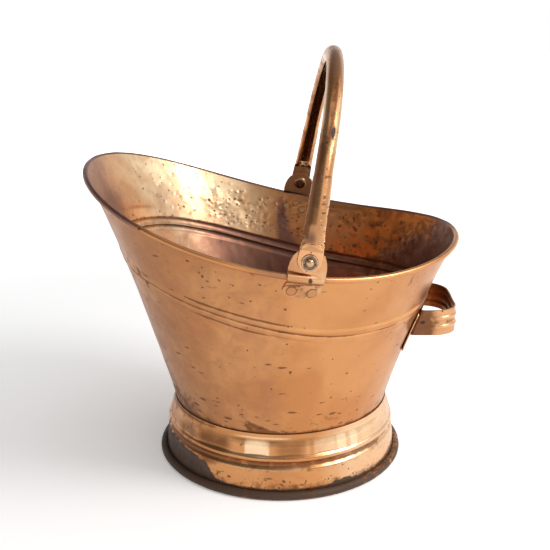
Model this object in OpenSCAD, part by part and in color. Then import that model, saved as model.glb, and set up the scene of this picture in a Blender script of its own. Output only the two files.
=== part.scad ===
// Copper coal scuttle: an open helmet-shaped body on a rolled foot ring, with a hinged
// bail of channel section across the mouth and a ribbed strap handle at the back for tipping.
// +X points to the back (strap handle), -X to the pouring lip, +Z up, millimetres.
// The part is mirror symmetric about the XZ plane.

/* [Mouth] */
// Length of the mouth from pouring lip to back, along X, at the rim wire
mouth_length = 383.4; // [340:1:430]
// Width of the mouth across its middle, at the rim wire
mouth_width = 349; // [310:1:390]
// How much the front half of the mouth is broader than the back half
mouth_taper = 25.3; // [10:0.5:35]
// How square the mouth's ends are: 0 gives an ellipse
mouth_squareness = 10.9; // [4:0.1:16]
// Set-back of the mouth's middle from the foot's axis, towards the lip
mouth_setback = 7.1; // [0:0.1:20]
// Height of the pouring lip above the floor
lip_height = 320.3; // [300:0.5:345]
// Height of the rim at the middle of its sides
side_height = 252.7; // [240:0.5:265]
// Height of the rim at the back
back_height = 247.5; // [236:0.5:260]
// Extra sweep of the lip: 0 gives a plain curve
lip_sweep = -1.4; // [-5:0.1:3]

/* [Body sheet] */
// Thickness of the body's copper sheet
body_sheet = 1.1; // [0.8:0.1:1.6]
// Radius of the body where it sits in the foot's collar
base_radius = 115.8; // [105:0.1:119]
// Hollow of the wall between base and rim, so that the mouth flares
wall_flare = 4.1; // [0:0.1:8]
// Radius of the iron wire in the rim
rim_wire_radius = 1.5; // [1:0.1:2.5]
// Gap between a wire and the sheet rolled round it
wire_gap = 0.15; // [0.1:0.01:0.3]
// Mean distance of the double swage below the rim, along the wall
swage_drop = 73.7; // [66:0.1:82]
// Extra drop of the swage at the front
swage_front_drop = 7.6; // [0:0.1:12]
// Extra drop of the swage at front and back alike
swage_end_drop = 4.9; // [0:0.1:8]
// Width of each of the swage's two beads
swage_bead_width = 9.6; // [6:0.1:12]
// How far each bead stands out
swage_bead_height = 2.2; // [1:0.1:3.5]

/* [Foot] */
// Height of the foot's collar, where the body enters it
foot_height = 66; // [60:0.5:76]
// Radius of the foot at its rolled edge's wire
foot_radius = 130; // [126:0.5:145]
// Thickness of the foot's copper sheet
foot_sheet = 1.1; // [0.8:0.1:1.6]
// Radius of the iron wire in the foot's edge
foot_wire_radius = 3; // [2:0.1:4]
// Depth worn flat under the rolled edge
foot_wear = 0.3; // [0.1:0.05:0.6]
// How far the body reaches down into the collar
collar_lap = 9; // [6:0.5:14]
// Gap between the body and the collar
collar_fit = 0.2; // [0.1:0.05:0.4]
// How much wider the foot's barrel is than its collar
barrel_step = 4.2; // [2:0.1:6]
// Height of the ledge below the barrel
ledge_height = 41; // [36:0.5:46]
// How far the ledge and the ridge below it stand out of the groove between them
ledge_depth = 2; // [1:0.1:3]

/* [Bottom] */
// Thickness of the bottom plate
bottom_sheet = 1.2; // [0.8:0.1:2]
// Depth of the dish in the bottom plate
bottom_dish = 3; // [1:0.1:6]

/* [Ears] */
// Distance of the bail's pivot behind the foot's axis
pivot_x = 24.9; // [15:0.1:35]
// Height of the pivot above the rim wire beside it
pivot_rise = 16.8; // [16:0.1:19]
// Distance of the ear's inner face from the middle plane, less that of the rim wire
ear_inset = 0; // [-1:0.1:0.6]
// Thickness of the ear's metal
ear_sheet = 1.5; // [1.2:0.1:1.8]
// Width of the ear where it crosses the rim
ear_width = 34.6; // [30:0.1:40]
// Radius of the ear's rounded top
ear_top_radius = 12; // [10:0.1:14]
// Slope of the ear, which follows the rim
ear_slope = 11.5; // [6:0.1:14]
// Radius of the riveting flange's rounded lower edge
flange_radius = 24; // [21:0.1:27]
// Width of the flange
flange_width = 35.6; // [34:0.1:40]
// Reach of the flange below the pivot, along the ear
flange_reach = 37; // [35.5:0.1:39]
// Offset of the flange towards the lip
flange_offset = 0.9; // [0:0.1:3]
// Distance between the two ear rivets
ear_rivet_spacing = 19; // [15:0.1:22]
// Distance of the ear rivets below the pivot, along the ear
ear_rivet_drop = 30.8; // [28:0.1:31.5]
// Radius of a rivet's shank
rivet_radius = 2.1; // [1.5:0.1:2.5]
// Radius of a rivet's flat head
rivet_head_radius = 4.3; // [3.5:0.1:5]
// Height of a rivet's flat head
rivet_head_height = 0.9; // [0.5:0.1:1.5]

/* [Bail] */
// Outer radius of the bail's round channel
bail_radius = 8.5; // [7:0.1:10]
// Thickness of the bail's sheet
bail_wall = 1.2; // [0.8:0.1:2]
// Width of the channel's open side, which faces the mouth
bail_slot = 9.6; // [4:0.1:13]
// Rise of the bail from its pivots to its centre line at the top
bail_rise = 169.6; // [150:0.5:190]
// Slant of the bail's legs towards each other
leg_slant = 23; // [15:0.5:28]
// Lean of the bail towards the back, as it stands
bail_lean = 9.7; // [0:0.1:20]
// Radius of the flattened eye at each end of the bail
eye_radius = 11.6; // [10.5:0.1:12.5]
// Thickness of the flattened eye
eye_thickness = 3; // [2:0.1:4]
// Distance above the pivot where the flattened end begins to swell into the channel
eye_reach = 20; // [18:0.1:22]
// Distance above the pivot where the channel is fully round
channel_start = 31; // [29:0.5:36]

/* [Pivots] */
// Radius of the pivot rivet's shank
pivot_radius = 3; // [2.5:0.1:4]
// Radial clearance of the bail's eye on the pivot rivet
pivot_clearance = 0.05; // [0.03:0.01:0.08]
// Gap between faces that slide on each other
sliding_gap = 0.3; // [0.2:0.05:0.5]
// Radius of the washer under the pivot rivet's head
washer_radius = 7.7; // [6.5:0.1:9]
// Thickness of the washer
washer_thickness = 1.2; // [0.8:0.1:1.6]
// Radius of the pivot rivet's domed head
pivot_head_radius = 4.6; // [4:0.1:6]
// Radius of the dished tail inside the ear
pivot_tail_radius = 7; // [5:0.1:8]

/* [Strap handle] */
// Width of the strap, up and down
strap_width = 27; // [22:0.5:34]
// Thickness of the strap
strap_sheet = 1.6; // [1.2:0.1:2.4]
// Half the distance between the strap's legs, at their outer faces
strap_half_span = 48; // [40:0.5:54]
// Distance of the strap's outermost face behind the foot's axis
strap_reach = 187.5; // [180:0.5:200]
// Height of the strap's upper edge
strap_top = 173.5; // [165:0.5:178]
// Radius of the strap's bends, at the middle of its thickness
strap_bend = 24; // [12:0.5:30]
// Distance between the strap's two pressed ribs
rib_spacing = 9.5; // [8:0.1:12]
// Width of each rib
rib_width = 5.6; // [4:0.1:7]
// Height of each rib
rib_height = 1.4; // [0.8:0.1:2]
// Length of each of the strap's feet, which are turned in towards each other
foot_pad_length = 20; // [16:0.5:24]
// Thickness of the plate between the strap's feet and the wall
plate_sheet = 1.2; // [0.8:0.1:1.6]
// How far the plate reaches past the strap's legs
plate_margin = 4; // [2:0.5:12]
// How far the plate hangs below the strap
plate_hang = 17; // [8:0.5:20]
// How far the plate's upper edge stays below the strap's, clear of the swage
plate_drop = 2.5; // [2.5:0.5:8]
// Distance between the two rivets in each of the strap's feet
strap_rivet_spacing = 16; // [12:0.5:18]

/* [Smoothness] */
// Stations round the body
stations = 64; // [48:4:80]

/* [Hidden] */
$fn = 64;

// Small distance by which joined shapes overlap and cutters pass through
bite = 0.5;
// Clearance between a rivet and the faces it clamps, which covers the body's flat facets
rivet_seat = 0.2;
// Radial clearance of a rivet's shank in its hole
rivet_fit = 0.1;
// Gap between the body and what is riveted to it
riveted_gap = 0.25;

rim_hole_radius = rim_wire_radius + wire_gap;
rim_roll_radius = rim_hole_radius + body_sheet;
foot_hole_radius = foot_wire_radius + wire_gap;
foot_roll_radius = foot_hole_radius + foot_sheet;
foot_wire_z = foot_roll_radius - foot_wear;

// The whole part stands over the middle of its box, which runs from the lip to the strap
lip_x = -mouth_setback - mouth_length / 2;
part_shift = -(lip_x - rim_roll_radius + strap_reach) / 2;

module stand() {
    translate([part_shift, 0, 0])
        children();
}

// ---------------------------------------------------------------- vector helpers
function unit(v) = v / norm(v);
function radial(t) = [-cos(t), -sin(t), 0];

// ---------------------------------------------------------------- body surface
// The angle t runs round the body: 0 at the lip, 90 at the near side, 180 at the back.
rim_even_mean = ((lip_height + back_height) / 2 + side_height) / 2;
rim_even_swing = ((lip_height + back_height) / 2 - side_height) / 2;
rim_odd_swing = (lip_height - back_height) / 2 - lip_sweep;

function mouth_half_width(t) =
    (mouth_width / 2 + mouth_taper * cos(t) + mouth_squareness * (1 + cos(2 * t))) * sin(t);
function rim(t) = [
    -mouth_setback - mouth_length / 2 * cos(t),
    -mouth_half_width(t),
    rim_even_mean + rim_odd_swing * cos(t) + rim_even_swing * cos(2 * t) + lip_sweep * cos(3 * t),
];
function base(t) = base_radius * radial(t) + [0, 0, foot_height];

// Local directions at the rim: along it, up the wall, and out of the wall
function rim_along(t) = unit(rim(t + 1) - rim(t - 1));
function wall_slope_at_rim(t) = rim(t) - base(t) + 4 * wall_flare * radial(t);
function rim_out(t) = unit(cross(rim_along(t), wall_slope_at_rim(t)));
function rim_up(t) = cross(rim_out(t), rim_along(t));
function rim_point(t, out, up) = rim(t) + out * rim_out(t) + up * rim_up(t);

// Outer face of the wall at angle t and share s of the way from base to rim
function wall_top(t) = rim_point(t, -rim_hole_radius, 0);
function wall(t, s) =
    base(t) + s * (wall_top(t) - base(t)) - 4 * wall_flare * s * (1 - s) * radial(t);
function wall_out(t, s) =
    unit(cross(wall(t + 1, s) - wall(t - 1, s), wall(t, s + 0.01) - wall(t, s - 0.01)));
function wall_point(t, s, out) = wall(t, s) + out * wall_out(t, s);

// Share s that lies a distance below the rim
function share_below_rim(t, drop) = 1 - drop / norm(wall_top(t) - base(t));
function swage_middle(t) = swage_drop + swage_front_drop * cos(t) + swage_end_drop * cos(2 * t);

// Walks to the wall point whose coordinate `axis` is `value` and whose height is z
function wall_find(axis, value, z, t, s, steps = 8) = steps == 0 ? [t, s] :
    let (
        here = wall(t, s),
        across = (wall(t + 1, s) - here)[axis],
        rise = (wall(t, s + 0.01) - here)[2] / 0.01
    )
    wall_find(axis, value, z,
        t + (value - here[axis]) / across, s + (z - here[2]) / rise, steps - 1);

// Places children on the wall: their Z points out of it and their Y up it
module on_wall(spot) {
    out = wall_out(spot[0], spot[1]);
    along = unit(cross([0, 0, 1], out));
    up = cross(out, along);
    origin = wall(spot[0], spot[1]);
    multmatrix([
        [along[0], up[0], out[0], origin[0]],
        [along[1], up[1], out[1], origin[1]],
        [along[2], up[2], out[2], origin[2]],
        [0, 0, 0, 1],
    ])
        children();
}

// ---------------------------------------------------------------- lofted sheets
function flatten(rows) = [for (row = rows) for (p = row) p];
function quad(a, b, c, d) = [[a, b, c], [a, c, d]];

// Closed ring of equal closed sections, such as a rolled rim that runs right round
module ring_loft(sections) {
    n = len(sections);
    k = len(sections[0]);
    polyhedron(
        points = flatten(sections),
        faces = [
            for (i = [0:n - 1], j = [0:k - 1])
                let (i2 = (i + 1) % n, j2 = (j + 1) % k)
                    for (f = quad(i * k + j, i * k + j2, i2 * k + j2, i2 * k + j)) f,
        ]
    );
}

// Sheet between an inner and an outer grid of points, each a list of columns
module sheet_loft(inner, outer) {
    n = len(inner);
    k = len(inner[0]);
    far = n * k;
    polyhedron(
        points = concat(flatten(inner), flatten(outer)),
        faces = [
            for (i = [0:n - 2], j = [0:k - 2])
                for (f = quad(i * k + j, i * k + j + 1, (i + 1) * k + j + 1, (i + 1) * k + j)) f,
            for (i = [0:n - 2], j = [0:k - 2])
                for (f = quad(far + i * k + j, far + (i + 1) * k + j,
                              far + (i + 1) * k + j + 1, far + i * k + j + 1)) f,
            for (j = [0:k - 2], side = [0, 1])
                let (c = side * (n - 1) * k + j)
                    for (f = side == 0 ? quad(c, far + c, far + c + 1, c + 1)
                                       : quad(c, c + 1, far + c + 1, far + c)) f,
            for (i = [0:n - 2], edge = [0, 1])
                let (a = i * k + edge * (k - 1), b = (i + 1) * k + edge * (k - 1))
                    for (f = edge == 0 ? quad(a, b, far + b, far + a)
                                       : quad(a, far + a, far + b, b)) f,
        ]
    );
}

station_angles = [for (i = [0:stations - 1]) 360 * i / stations];

// ---------------------------------------------------------------- body
// Heights up the wall where the section has points, as [share, how far the sheet stands out]
bead_steps = 8;
function wall_stations(t) = [
    [0, 0],
    [0.22, 0],
    [0.45, 0],
    for (i = [0:bead_steps])
        let (across = i / bead_steps * 2 - 1)
            [share_below_rim(t, swage_middle(t) - across * swage_bead_width),
             swage_bead_height * abs(sin(180 * across))],
    [share_below_rim(t, swage_middle(t) / 3), 0],
];
// Angles of the rim's roll, from the wall over the top and down to just short of the wall
roll_angles = [for (i = [0:6]) 180 - i * 53];

function body_section(t) = let (stops = wall_stations(t)) [
    base_radius * radial(t) + [0, 0, foot_height - collar_lap],
    for (stop = stops) wall_point(t, stop[0], stop[1]),
    for (a = roll_angles) rim_point(t, rim_hole_radius * cos(a), rim_hole_radius * sin(a)),
    for (i = [len(roll_angles) - 1:-1:0])
        let (a = roll_angles[i]) rim_point(t, rim_roll_radius * cos(a), rim_roll_radius * sin(a)),
    for (i = [len(stops) - 1:-1:0])
        wall_point(t, stops[i][0], stops[i][1] - body_sheet),
    (base_radius - body_sheet) * radial(t) + [0, 0, foot_height - collar_lap],
];

module body_shell() {
    color("peru") stand()
        difference() {
            ring_loft([for (t = station_angles) body_section(t)]);
            rivet_holes();
        }
}

module rivet_holes() {
    for (spot = ear_rivet_spots, side = [0, 1])
        mirror([0, side, 0])
            on_wall(spot)
                rivet_hole();
    for (spot = strap_rivet_spots, side = [0, 1])
        mirror([0, side, 0])
            on_wall(spot)
                rivet_hole();
}

module rivet_hole() {
    reach = 3 * (body_sheet + ear_sheet);
    cylinder(r = rivet_radius + rivet_fit, h = 2 * reach, center = true);
}

module rim_wire() {
    color("dimgray") stand()
        ring_loft([
            for (t = station_angles)
                [for (a = [0:-45:-315])
                    rim_point(t, rim_wire_radius * cos(a), rim_wire_radius * sin(a))],
        ]);
}

// ---------------------------------------------------------------- bottom and foot
bottom_z = foot_height - collar_lap;
// The body's flat facets come closer to the axis than its corners do
facet_sag = base_radius * (1 - cos(180 / stations));
bottom_radius = base_radius - body_sheet - facet_sag - collar_fit;
bottom_rise = 3;

module bottom_plate() {
    color("sienna") stand()
        rotate_extrude()
            polygon([
                [0, bottom_z + bottom_rise - bottom_dish],
                [bottom_radius * 0.72, bottom_z + bottom_rise - bottom_dish],
                [bottom_radius * 0.94, bottom_z + bottom_rise],
                [bottom_radius - bottom_sheet, bottom_z + bottom_rise],
                [bottom_radius - bottom_sheet, bottom_z - bottom_rise],
                [bottom_radius, bottom_z - bottom_rise],
                [bottom_radius, bottom_z + bottom_rise + bottom_sheet],
                [bottom_radius * 0.94 - bottom_sheet / 4, bottom_z + bottom_rise + bottom_sheet],
                [bottom_radius * 0.72 - bottom_sheet / 4,
                    bottom_z + bottom_rise - bottom_dish + bottom_sheet],
                [0, bottom_z + bottom_rise - bottom_dish + bottom_sheet],
            ]);
}

// Fillet of solder that seals the bottom plate into the body
solder_leg = 2.4;
solder_z = bottom_z + bottom_rise + bottom_sheet;
module bottom_solder() {
    color("silver") stand()
        rotate_extrude()
            polygon([
                [bottom_radius - solder_leg, solder_z],
                [bottom_radius, solder_z],
                [bottom_radius, solder_z + solder_leg],
                [bottom_radius - solder_leg / 3, solder_z + solder_leg / 3],
            ]);
}

collar_radius = base_radius + collar_fit + foot_sheet;
barrel_radius = collar_radius + barrel_step;
skirt_radius = foot_radius - foot_hole_radius;
// The skirt stands out a little between the ridge and the edge, at this drop below the ledge
skirt_bulge = 0.8;
skirt_bulge_drop = 21;
groove_radius = barrel_radius + 0.9;
ledge_radius = groove_radius + ledge_depth;

// Outer face of the foot, from the collar down to the rolled edge
foot_face = [
    [collar_radius, foot_height],
    [collar_radius + 0.5, foot_height - 5],
    [collar_radius + barrel_step * 0.55, foot_height - 9],
    [barrel_radius - 0.5, foot_height - 12.5],
    [barrel_radius, ledge_height + 9],
    [barrel_radius + 0.6, ledge_height + 4],
    [ledge_radius - 0.5, ledge_height + 1.6],
    [ledge_radius, ledge_height],
    [ledge_radius - 0.3, ledge_height - 1.8],
    [groove_radius, ledge_height - 4.6],
    [groove_radius, ledge_height - 7.6],
    [ledge_radius + 0.4, ledge_height - 10.6],
    [ledge_radius + 1, ledge_height - 13.5],
    [(ledge_radius + skirt_radius) / 2 + skirt_bulge, ledge_height - skirt_bulge_drop],
    [skirt_radius, foot_wire_z + 5],
    [skirt_radius, foot_wire_z],
];

// Angles of the edge's roll, seen from the wire: from the skirt under the wire and back up
foot_roll_angles = [for (i = [1:21]) 180 + 15 * i];
function foot_roll_point(r, a) = [foot_radius + r * cos(a), max(foot_wire_z + r * sin(a), 0)];

module foot_ring() {
    last = len(foot_roll_angles) - 1;
    color("peru") stand()
        rotate_extrude()
            polygon(concat(
                foot_face,
                [for (a = foot_roll_angles) foot_roll_point(foot_hole_radius, a)],
                [for (i = [last:-1:0]) foot_roll_point(foot_roll_radius, foot_roll_angles[i])],
                [for (i = [len(foot_face) - 1:-1:0]) foot_face[i] - [foot_sheet, 0]]
            ));
}

module foot_wire() {
    color("dimgray") stand()
        translate([0, 0, foot_wire_z])
            rotate_extrude()
                translate([foot_radius, 0])
                    circle(r = foot_wire_radius);
}

// ---------------------------------------------------------------- ears
// Angle round the rim at which the rim wire passes beside the pivot
pivot_angle = acos(-(pivot_x + mouth_setback) / (mouth_length / 2));
pivot_z = rim(pivot_angle)[2] + pivot_rise;
ear_inner_y = mouth_half_width(pivot_angle) - ear_inset;
ear_outer_y = ear_inner_y + ear_sheet;

// Point (x, z) of a place given along and across the sloping ear, measured from the pivot
function ear_place(across, up) = [
    pivot_x + across * cos(ear_slope) + up * sin(ear_slope),
    pivot_z - across * sin(ear_slope) + up * cos(ear_slope),
];
ear_rivet_spots = [
    for (side = [-1, 1])
        let (place = ear_place(side * ear_rivet_spacing / 2 - flange_offset, -ear_rivet_drop))
            wall_find(0, place[0], place[1], pivot_angle, 0.93),
];

// Section of the ear across the rim: it lies on the wall, passes round the roll and ends in
// the upright plate, which crosses the rim at a small angle
flange_drops = [26, 17, 8.5];
// Distance below the rim wire where the flange leaves the wall for the roll
flange_turn = rim_roll_radius + 1.3;
band_start = -70;
band_steps = 5;
// Rise between the end of the band round the roll and the upright plate
plate_rise = 0.6;
// The sheets the ear is cut from reach past its outline by this much
ear_spare = 4;

function rim_lean(t) = asin(-rim_out(t)[2]);
// Angle above level where a band round the roll meets an upright plane that far outwards
function band_end(offset, radius) = acos(min(max(offset / radius, 0.05), 0.95));

function ear_column(t, skin) =
    let (
        here = rim(t),
        flange_out = riveted_gap + skin,
        radius = rim_roll_radius + flange_out,
        offset = ear_inner_y + skin + here[1],
        top = band_end(offset, radius),
        band_sweep = top + rim_lean(t) - band_start,
        band = [for (i = [0:band_steps]) band_start + band_sweep * i / band_steps],
        plate_z = here[2] + radius * sin(top) + max(offset - radius * cos(top), 0) + plate_rise
    ) [
        for (drop = flange_drops) wall_point(t, share_below_rim(t, drop), flange_out),
        rim_point(t, flange_out - rim_hole_radius, -flange_turn - skin / 2),
        for (a = band) rim_point(t, radius * cos(a), radius * sin(a)),
        [here[0], -ear_inner_y - skin, plate_z],
        [here[0], -ear_inner_y - skin, pivot_z + ear_top_radius + ear_spare],
    ];

// Outline of the ear seen from the side, measured from the pivot
shoulder_drop = 9;
band_drop = 20.5;
flange_flat = 0.8;
function tangent_point(p, r, side) =
    let (d = norm(p), a = atan2(p[1], p[0]) + side * acos(r / d)) r * [cos(a), sin(a)];

module ear_outline() {
    half = ear_width / 2;
    circle(r = ear_top_radius);
    polygon([
        [-half, -band_drop],
        [half, -band_drop],
        [half, -shoulder_drop],
        tangent_point([half, -shoulder_drop], ear_top_radius, 1),
        tangent_point([-half, -shoulder_drop], ear_top_radius, -1),
        [-half, -shoulder_drop],
    ]);
    intersection() {
        translate([-flange_offset, flange_radius - flange_reach - flange_flat])
            circle(r = flange_radius);
        translate([-flange_width / 2 - flange_offset, -flange_reach])
            square([flange_width, flange_reach - band_drop + bite]);
    }
}

// Angle round the rim taken up by half the sloping ear, with the spare at its side
ear_half_reach = flange_width / 2 + flange_offset + flange_reach * sin(ear_slope) + ear_spare;
ear_half_angle = ear_half_reach / (mouth_length / 2) * 180 / PI;
ear_steps = 5;

module ear() {
    columns = [for (i = [-ear_steps:ear_steps]) pivot_angle + ear_half_angle * i / ear_steps];
    difference() {
        intersection() {
            sheet_loft(
                [for (t = columns) ear_column(t, 0)],
                [for (t = columns) ear_column(t, ear_sheet)]
            );
            translate([pivot_x, -ear_inner_y + flange_reach, pivot_z])
                rotate([90, 0, 0])
                    rotate(-ear_slope)
                        linear_extrude(height = 2 * flange_reach)
                            ear_outline();
        }
        translate([pivot_x, 0, pivot_z])
            rotate([90, 0, 0])
                cylinder(r = pivot_radius + rivet_fit, h = 2 * ear_inner_y);
        for (spot = ear_rivet_spots)
            on_wall(spot)
                rivet_hole();
    }
}

module near_ear() {
    color("chocolate") stand() ear();
}

module far_ear() {
    color("chocolate") stand() mirror([0, 1, 0]) ear();
}

// Rivet through the wall and what is fastened to it, with a flat head at each end
module wall_rivet(spot, outer_metal) {
    tail = body_sheet + rivet_seat;
    head = riveted_gap + outer_metal + rivet_seat / 2;
    on_wall(spot) {
        translate([0, 0, -tail - rivet_head_height])
            cylinder(r = rivet_head_radius, h = rivet_head_height);
        translate([0, 0, -tail - bite])
            cylinder(r = rivet_radius, h = tail + head + 2 * bite);
        translate([0, 0, head])
            cylinder(r1 = rivet_head_radius, r2 = rivet_head_radius * 0.8, h = rivet_head_height);
    }
}

module ear_rivet(end, far_side) {
    color("saddlebrown") stand()
        mirror([0, far_side, 0])
            wall_rivet(ear_rivet_spots[end], ear_sheet);
}

// ---------------------------------------------------------------- bail
eye_inner_y = ear_outer_y + sliding_gap;
eye_outer_y = eye_inner_y + eye_thickness;
eye_y = (eye_inner_y + eye_outer_y) / 2;
// Height above the pivot where a leg's centre line would meet the middle plane of its eye
leg_aim = 9;
// The legs are a hair thinner than the arc, so that the two overlap cleanly
leg_shyness = 0.04;
// The top is an arc, tangent to both slanted legs
bail_arc_radius =
    (eye_y * cos(leg_slant) - (bail_rise - leg_aim) * sin(leg_slant)) / (1 - sin(leg_slant));
bail_arc_height = bail_rise - bail_arc_radius;
leg_top = bail_arc_height + bail_arc_radius * sin(leg_slant);
function leg_y(height) = eye_y - (height - leg_aim) * tan(leg_slant);

// Section of the channel: a tube that is open towards -X, thinned on both faces by `shy`
module channel_section(shy = 0) {
    difference() {
        circle(r = bail_radius - shy);
        circle(r = bail_radius - bail_wall + shy);
        translate([-2 * bail_radius, -bail_slot / 2])
            square([2 * bail_radius, bail_slot]);
    }
}

// Places children on a leg's centre line at a height above the pivot, their Z up the leg
module on_leg(height) {
    translate([0, leg_y(height), height])
        rotate([leg_slant, 0, 0])
            children();
}

// Eye and leg seen from the side: a disc that narrows to the channel's width
module eye_outline() {
    circle(r = eye_radius);
    polygon([
        [-eye_radius, 0], [eye_radius, 0],
        [bail_radius, channel_start + bail_radius], [-bail_radius, channel_start + bail_radius],
    ]);
}

// Eye and leg seen end on: a flat plate that swells to the channel's depth
module eye_wedge() {
    half_across = bail_radius * [cos(leg_slant), sin(leg_slant)];
    swell_start = [leg_y(channel_start), channel_start];
    further = bite * [-sin(leg_slant), cos(leg_slant)];
    polygon([
        [eye_inner_y, -eye_radius], [eye_outer_y, -eye_radius],
        [eye_outer_y, eye_reach],
        swell_start + half_across, swell_start + half_across + further,
        swell_start - half_across + further, swell_start - half_across,
        [eye_inner_y, eye_reach],
    ]);
}

module bail_leg() {
    difference() {
        union() {
            on_leg(channel_start)
                linear_extrude(height = (leg_top - channel_start) / cos(leg_slant) + bite)
                    rotate(90)
                        channel_section(leg_shyness);
            intersection() {
                rotate([90, 0, 90])
                    linear_extrude(height = 4 * eye_radius, center = true)
                        eye_wedge();
                translate([0, 2 * eye_y, 0])
                    rotate([90, 0, 0])
                        linear_extrude(height = 2 * eye_y)
                            eye_outline();
                leg_taper();
            }
        }
        rotate([-90, 0, 0])
            cylinder(r = pivot_radius + pivot_clearance, h = 2 * eye_y);
    }
}

// Cone round the leg that rounds off the swelling, wide open at the eye
module leg_taper() {
    taper = 0.42;
    reach = 2 * channel_start;
    on_leg(channel_start)
        translate([0, 0, bite - reach])
            cylinder(
                r1 = bail_radius + taper * (reach - bite), r2 = bail_radius - taper * bite,
                h = reach);
}

// Places children as the bail stands: its plane upright and through the pivots, then leaning
module on_bail() {
    translate([pivot_x, 0, pivot_z])
        rotate([0, bail_lean, 0])
            children();
}

module bail() {
    color("peru")
        stand()
            on_bail() {
                translate([0, 0, bail_arc_height])
                    rotate([90, 0, 90])
                        rotate([0, 0, leg_slant])
                            rotate_extrude(angle = 180 - 2 * leg_slant)
                                translate([bail_arc_radius, 0])
                                    channel_section();
                bail_leg();
                mirror([0, 1, 0]) bail_leg();
            }
}

// ---------------------------------------------------------------- pivots
washer_inner_y = eye_outer_y + sliding_gap;
washer_outer_y = washer_inner_y + washer_thickness;
pivot_head_height = 3.2;
pivot_tail_thickness = 1.6;

// Places children on the pivot's axis, their Z towards the far side
module on_pivot() {
    translate([pivot_x, 0, pivot_z])
        rotate([-90, 0, 0])
            children();
}

module pivot_rivet() {
    dome_radius = (pow(pivot_head_radius, 2) + pow(pivot_head_height, 2)) / (2 * pivot_head_height);
    on_pivot() {
        translate([0, 0, ear_inner_y - pivot_tail_thickness])
            cylinder(r = pivot_tail_radius, h = pivot_tail_thickness);
        translate([0, 0, ear_inner_y - bite])
            cylinder(r = pivot_radius, h = washer_outer_y - ear_inner_y + 2 * bite);
        intersection() {
            translate([0, 0, washer_outer_y])
                cylinder(r = pivot_head_radius, h = pivot_head_height);
            translate([0, 0, washer_outer_y + pivot_head_height - dome_radius])
                sphere(r = dome_radius);
        }
    }
}

module washer() {
    on_pivot()
        translate([0, 0, washer_inner_y])
            difference() {
                cylinder(r = washer_radius, h = washer_thickness);
                translate([0, 0, -bite])
                    cylinder(r = pivot_radius + rivet_fit, h = washer_thickness + 2 * bite);
            }
}

module near_pivot_rivet() {
    color("darkgoldenrod") stand() mirror([0, 1, 0]) pivot_rivet();
}

module far_pivot_rivet() {
    color("darkgoldenrod") stand() pivot_rivet();
}

module near_washer() {
    color("goldenrod") stand() mirror([0, 1, 0]) washer();
}

module far_washer() {
    color("goldenrod") stand() washer();
}

// ---------------------------------------------------------------- strap handle
strap_mid_x = strap_reach - rib_height - strap_sheet / 2;
strap_mid_y = strap_half_span - strap_sheet / 2;
strap_mid_z = strap_top - strap_width / 2;
// Angle and share of the wall from which the walks to the strap's places start
back_start = [180, 0.5];
foot_pad_spot = wall_find(
    1, -strap_mid_y + foot_pad_length / 2, strap_mid_z, back_start[0], back_start[1]);
strap_rivet_spots = [
    for (side = [-1, 1])
        wall_find(1, wall(foot_pad_spot[0], foot_pad_spot[1])[1],
                  strap_mid_z + side * strap_rivet_spacing / 2, foot_pad_spot[0], foot_pad_spot[1]),
];

// Plate bent to the wall, with its corners cut: each column is [place across, cut at its ends]
plate_span = strap_half_span + plate_margin;
plate_corner = 6;
plate_columns = [
    [-plate_span, plate_corner],
    for (i = [-5:5]) [i / 5 * (plate_span - plate_corner), 0],
    [plate_span, plate_corner],
];
plate_rows = 4;

function plate_column(place, cut, out) =
    let (
        low = strap_top - strap_width - plate_hang + cut,
        high = strap_top - plate_drop - cut
    ) [
        for (i = [0:plate_rows])
            let (height = low + (high - low) * i / plate_rows)
            let (spot = wall_find(1, place, height, back_start[0], back_start[1]))
                wall_point(spot[0], spot[1], out),
    ];

module strap_plate() {
    color("chocolate") stand()
        difference() {
            sheet_loft(
                [for (c = plate_columns) plate_column(c[0], c[1], riveted_gap)],
                [for (c = plate_columns) plate_column(c[0], c[1], riveted_gap + plate_sheet)]
            );
            for (spot = strap_rivet_spots, side = [0, 1])
                mirror([0, side, 0])
                    on_wall(spot)
                        rivet_hole();
        }
}

// Section of the strap: outwards from the middle of its thickness, and up
rib_shape = [[-0.5, 0], [-0.25, 0.7], [0, 1], [0.25, 0.7], [0.5, 0]];
strap_face = [
    [0, -strap_width / 2],
    for (side = [-1, 1], p = rib_shape)
        [rib_height * p[1], side * rib_spacing / 2 + rib_width * p[0]],
    [0, strap_width / 2],
];
module strap_section() {
    polygon(concat(
        [for (p = strap_face) p + [strap_sheet / 2, strap_mid_z]],
        [for (i = [len(strap_face) - 1:-1:0]) strap_face[i] + [-strap_sheet / 2, strap_mid_z]]
    ));
}

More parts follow.
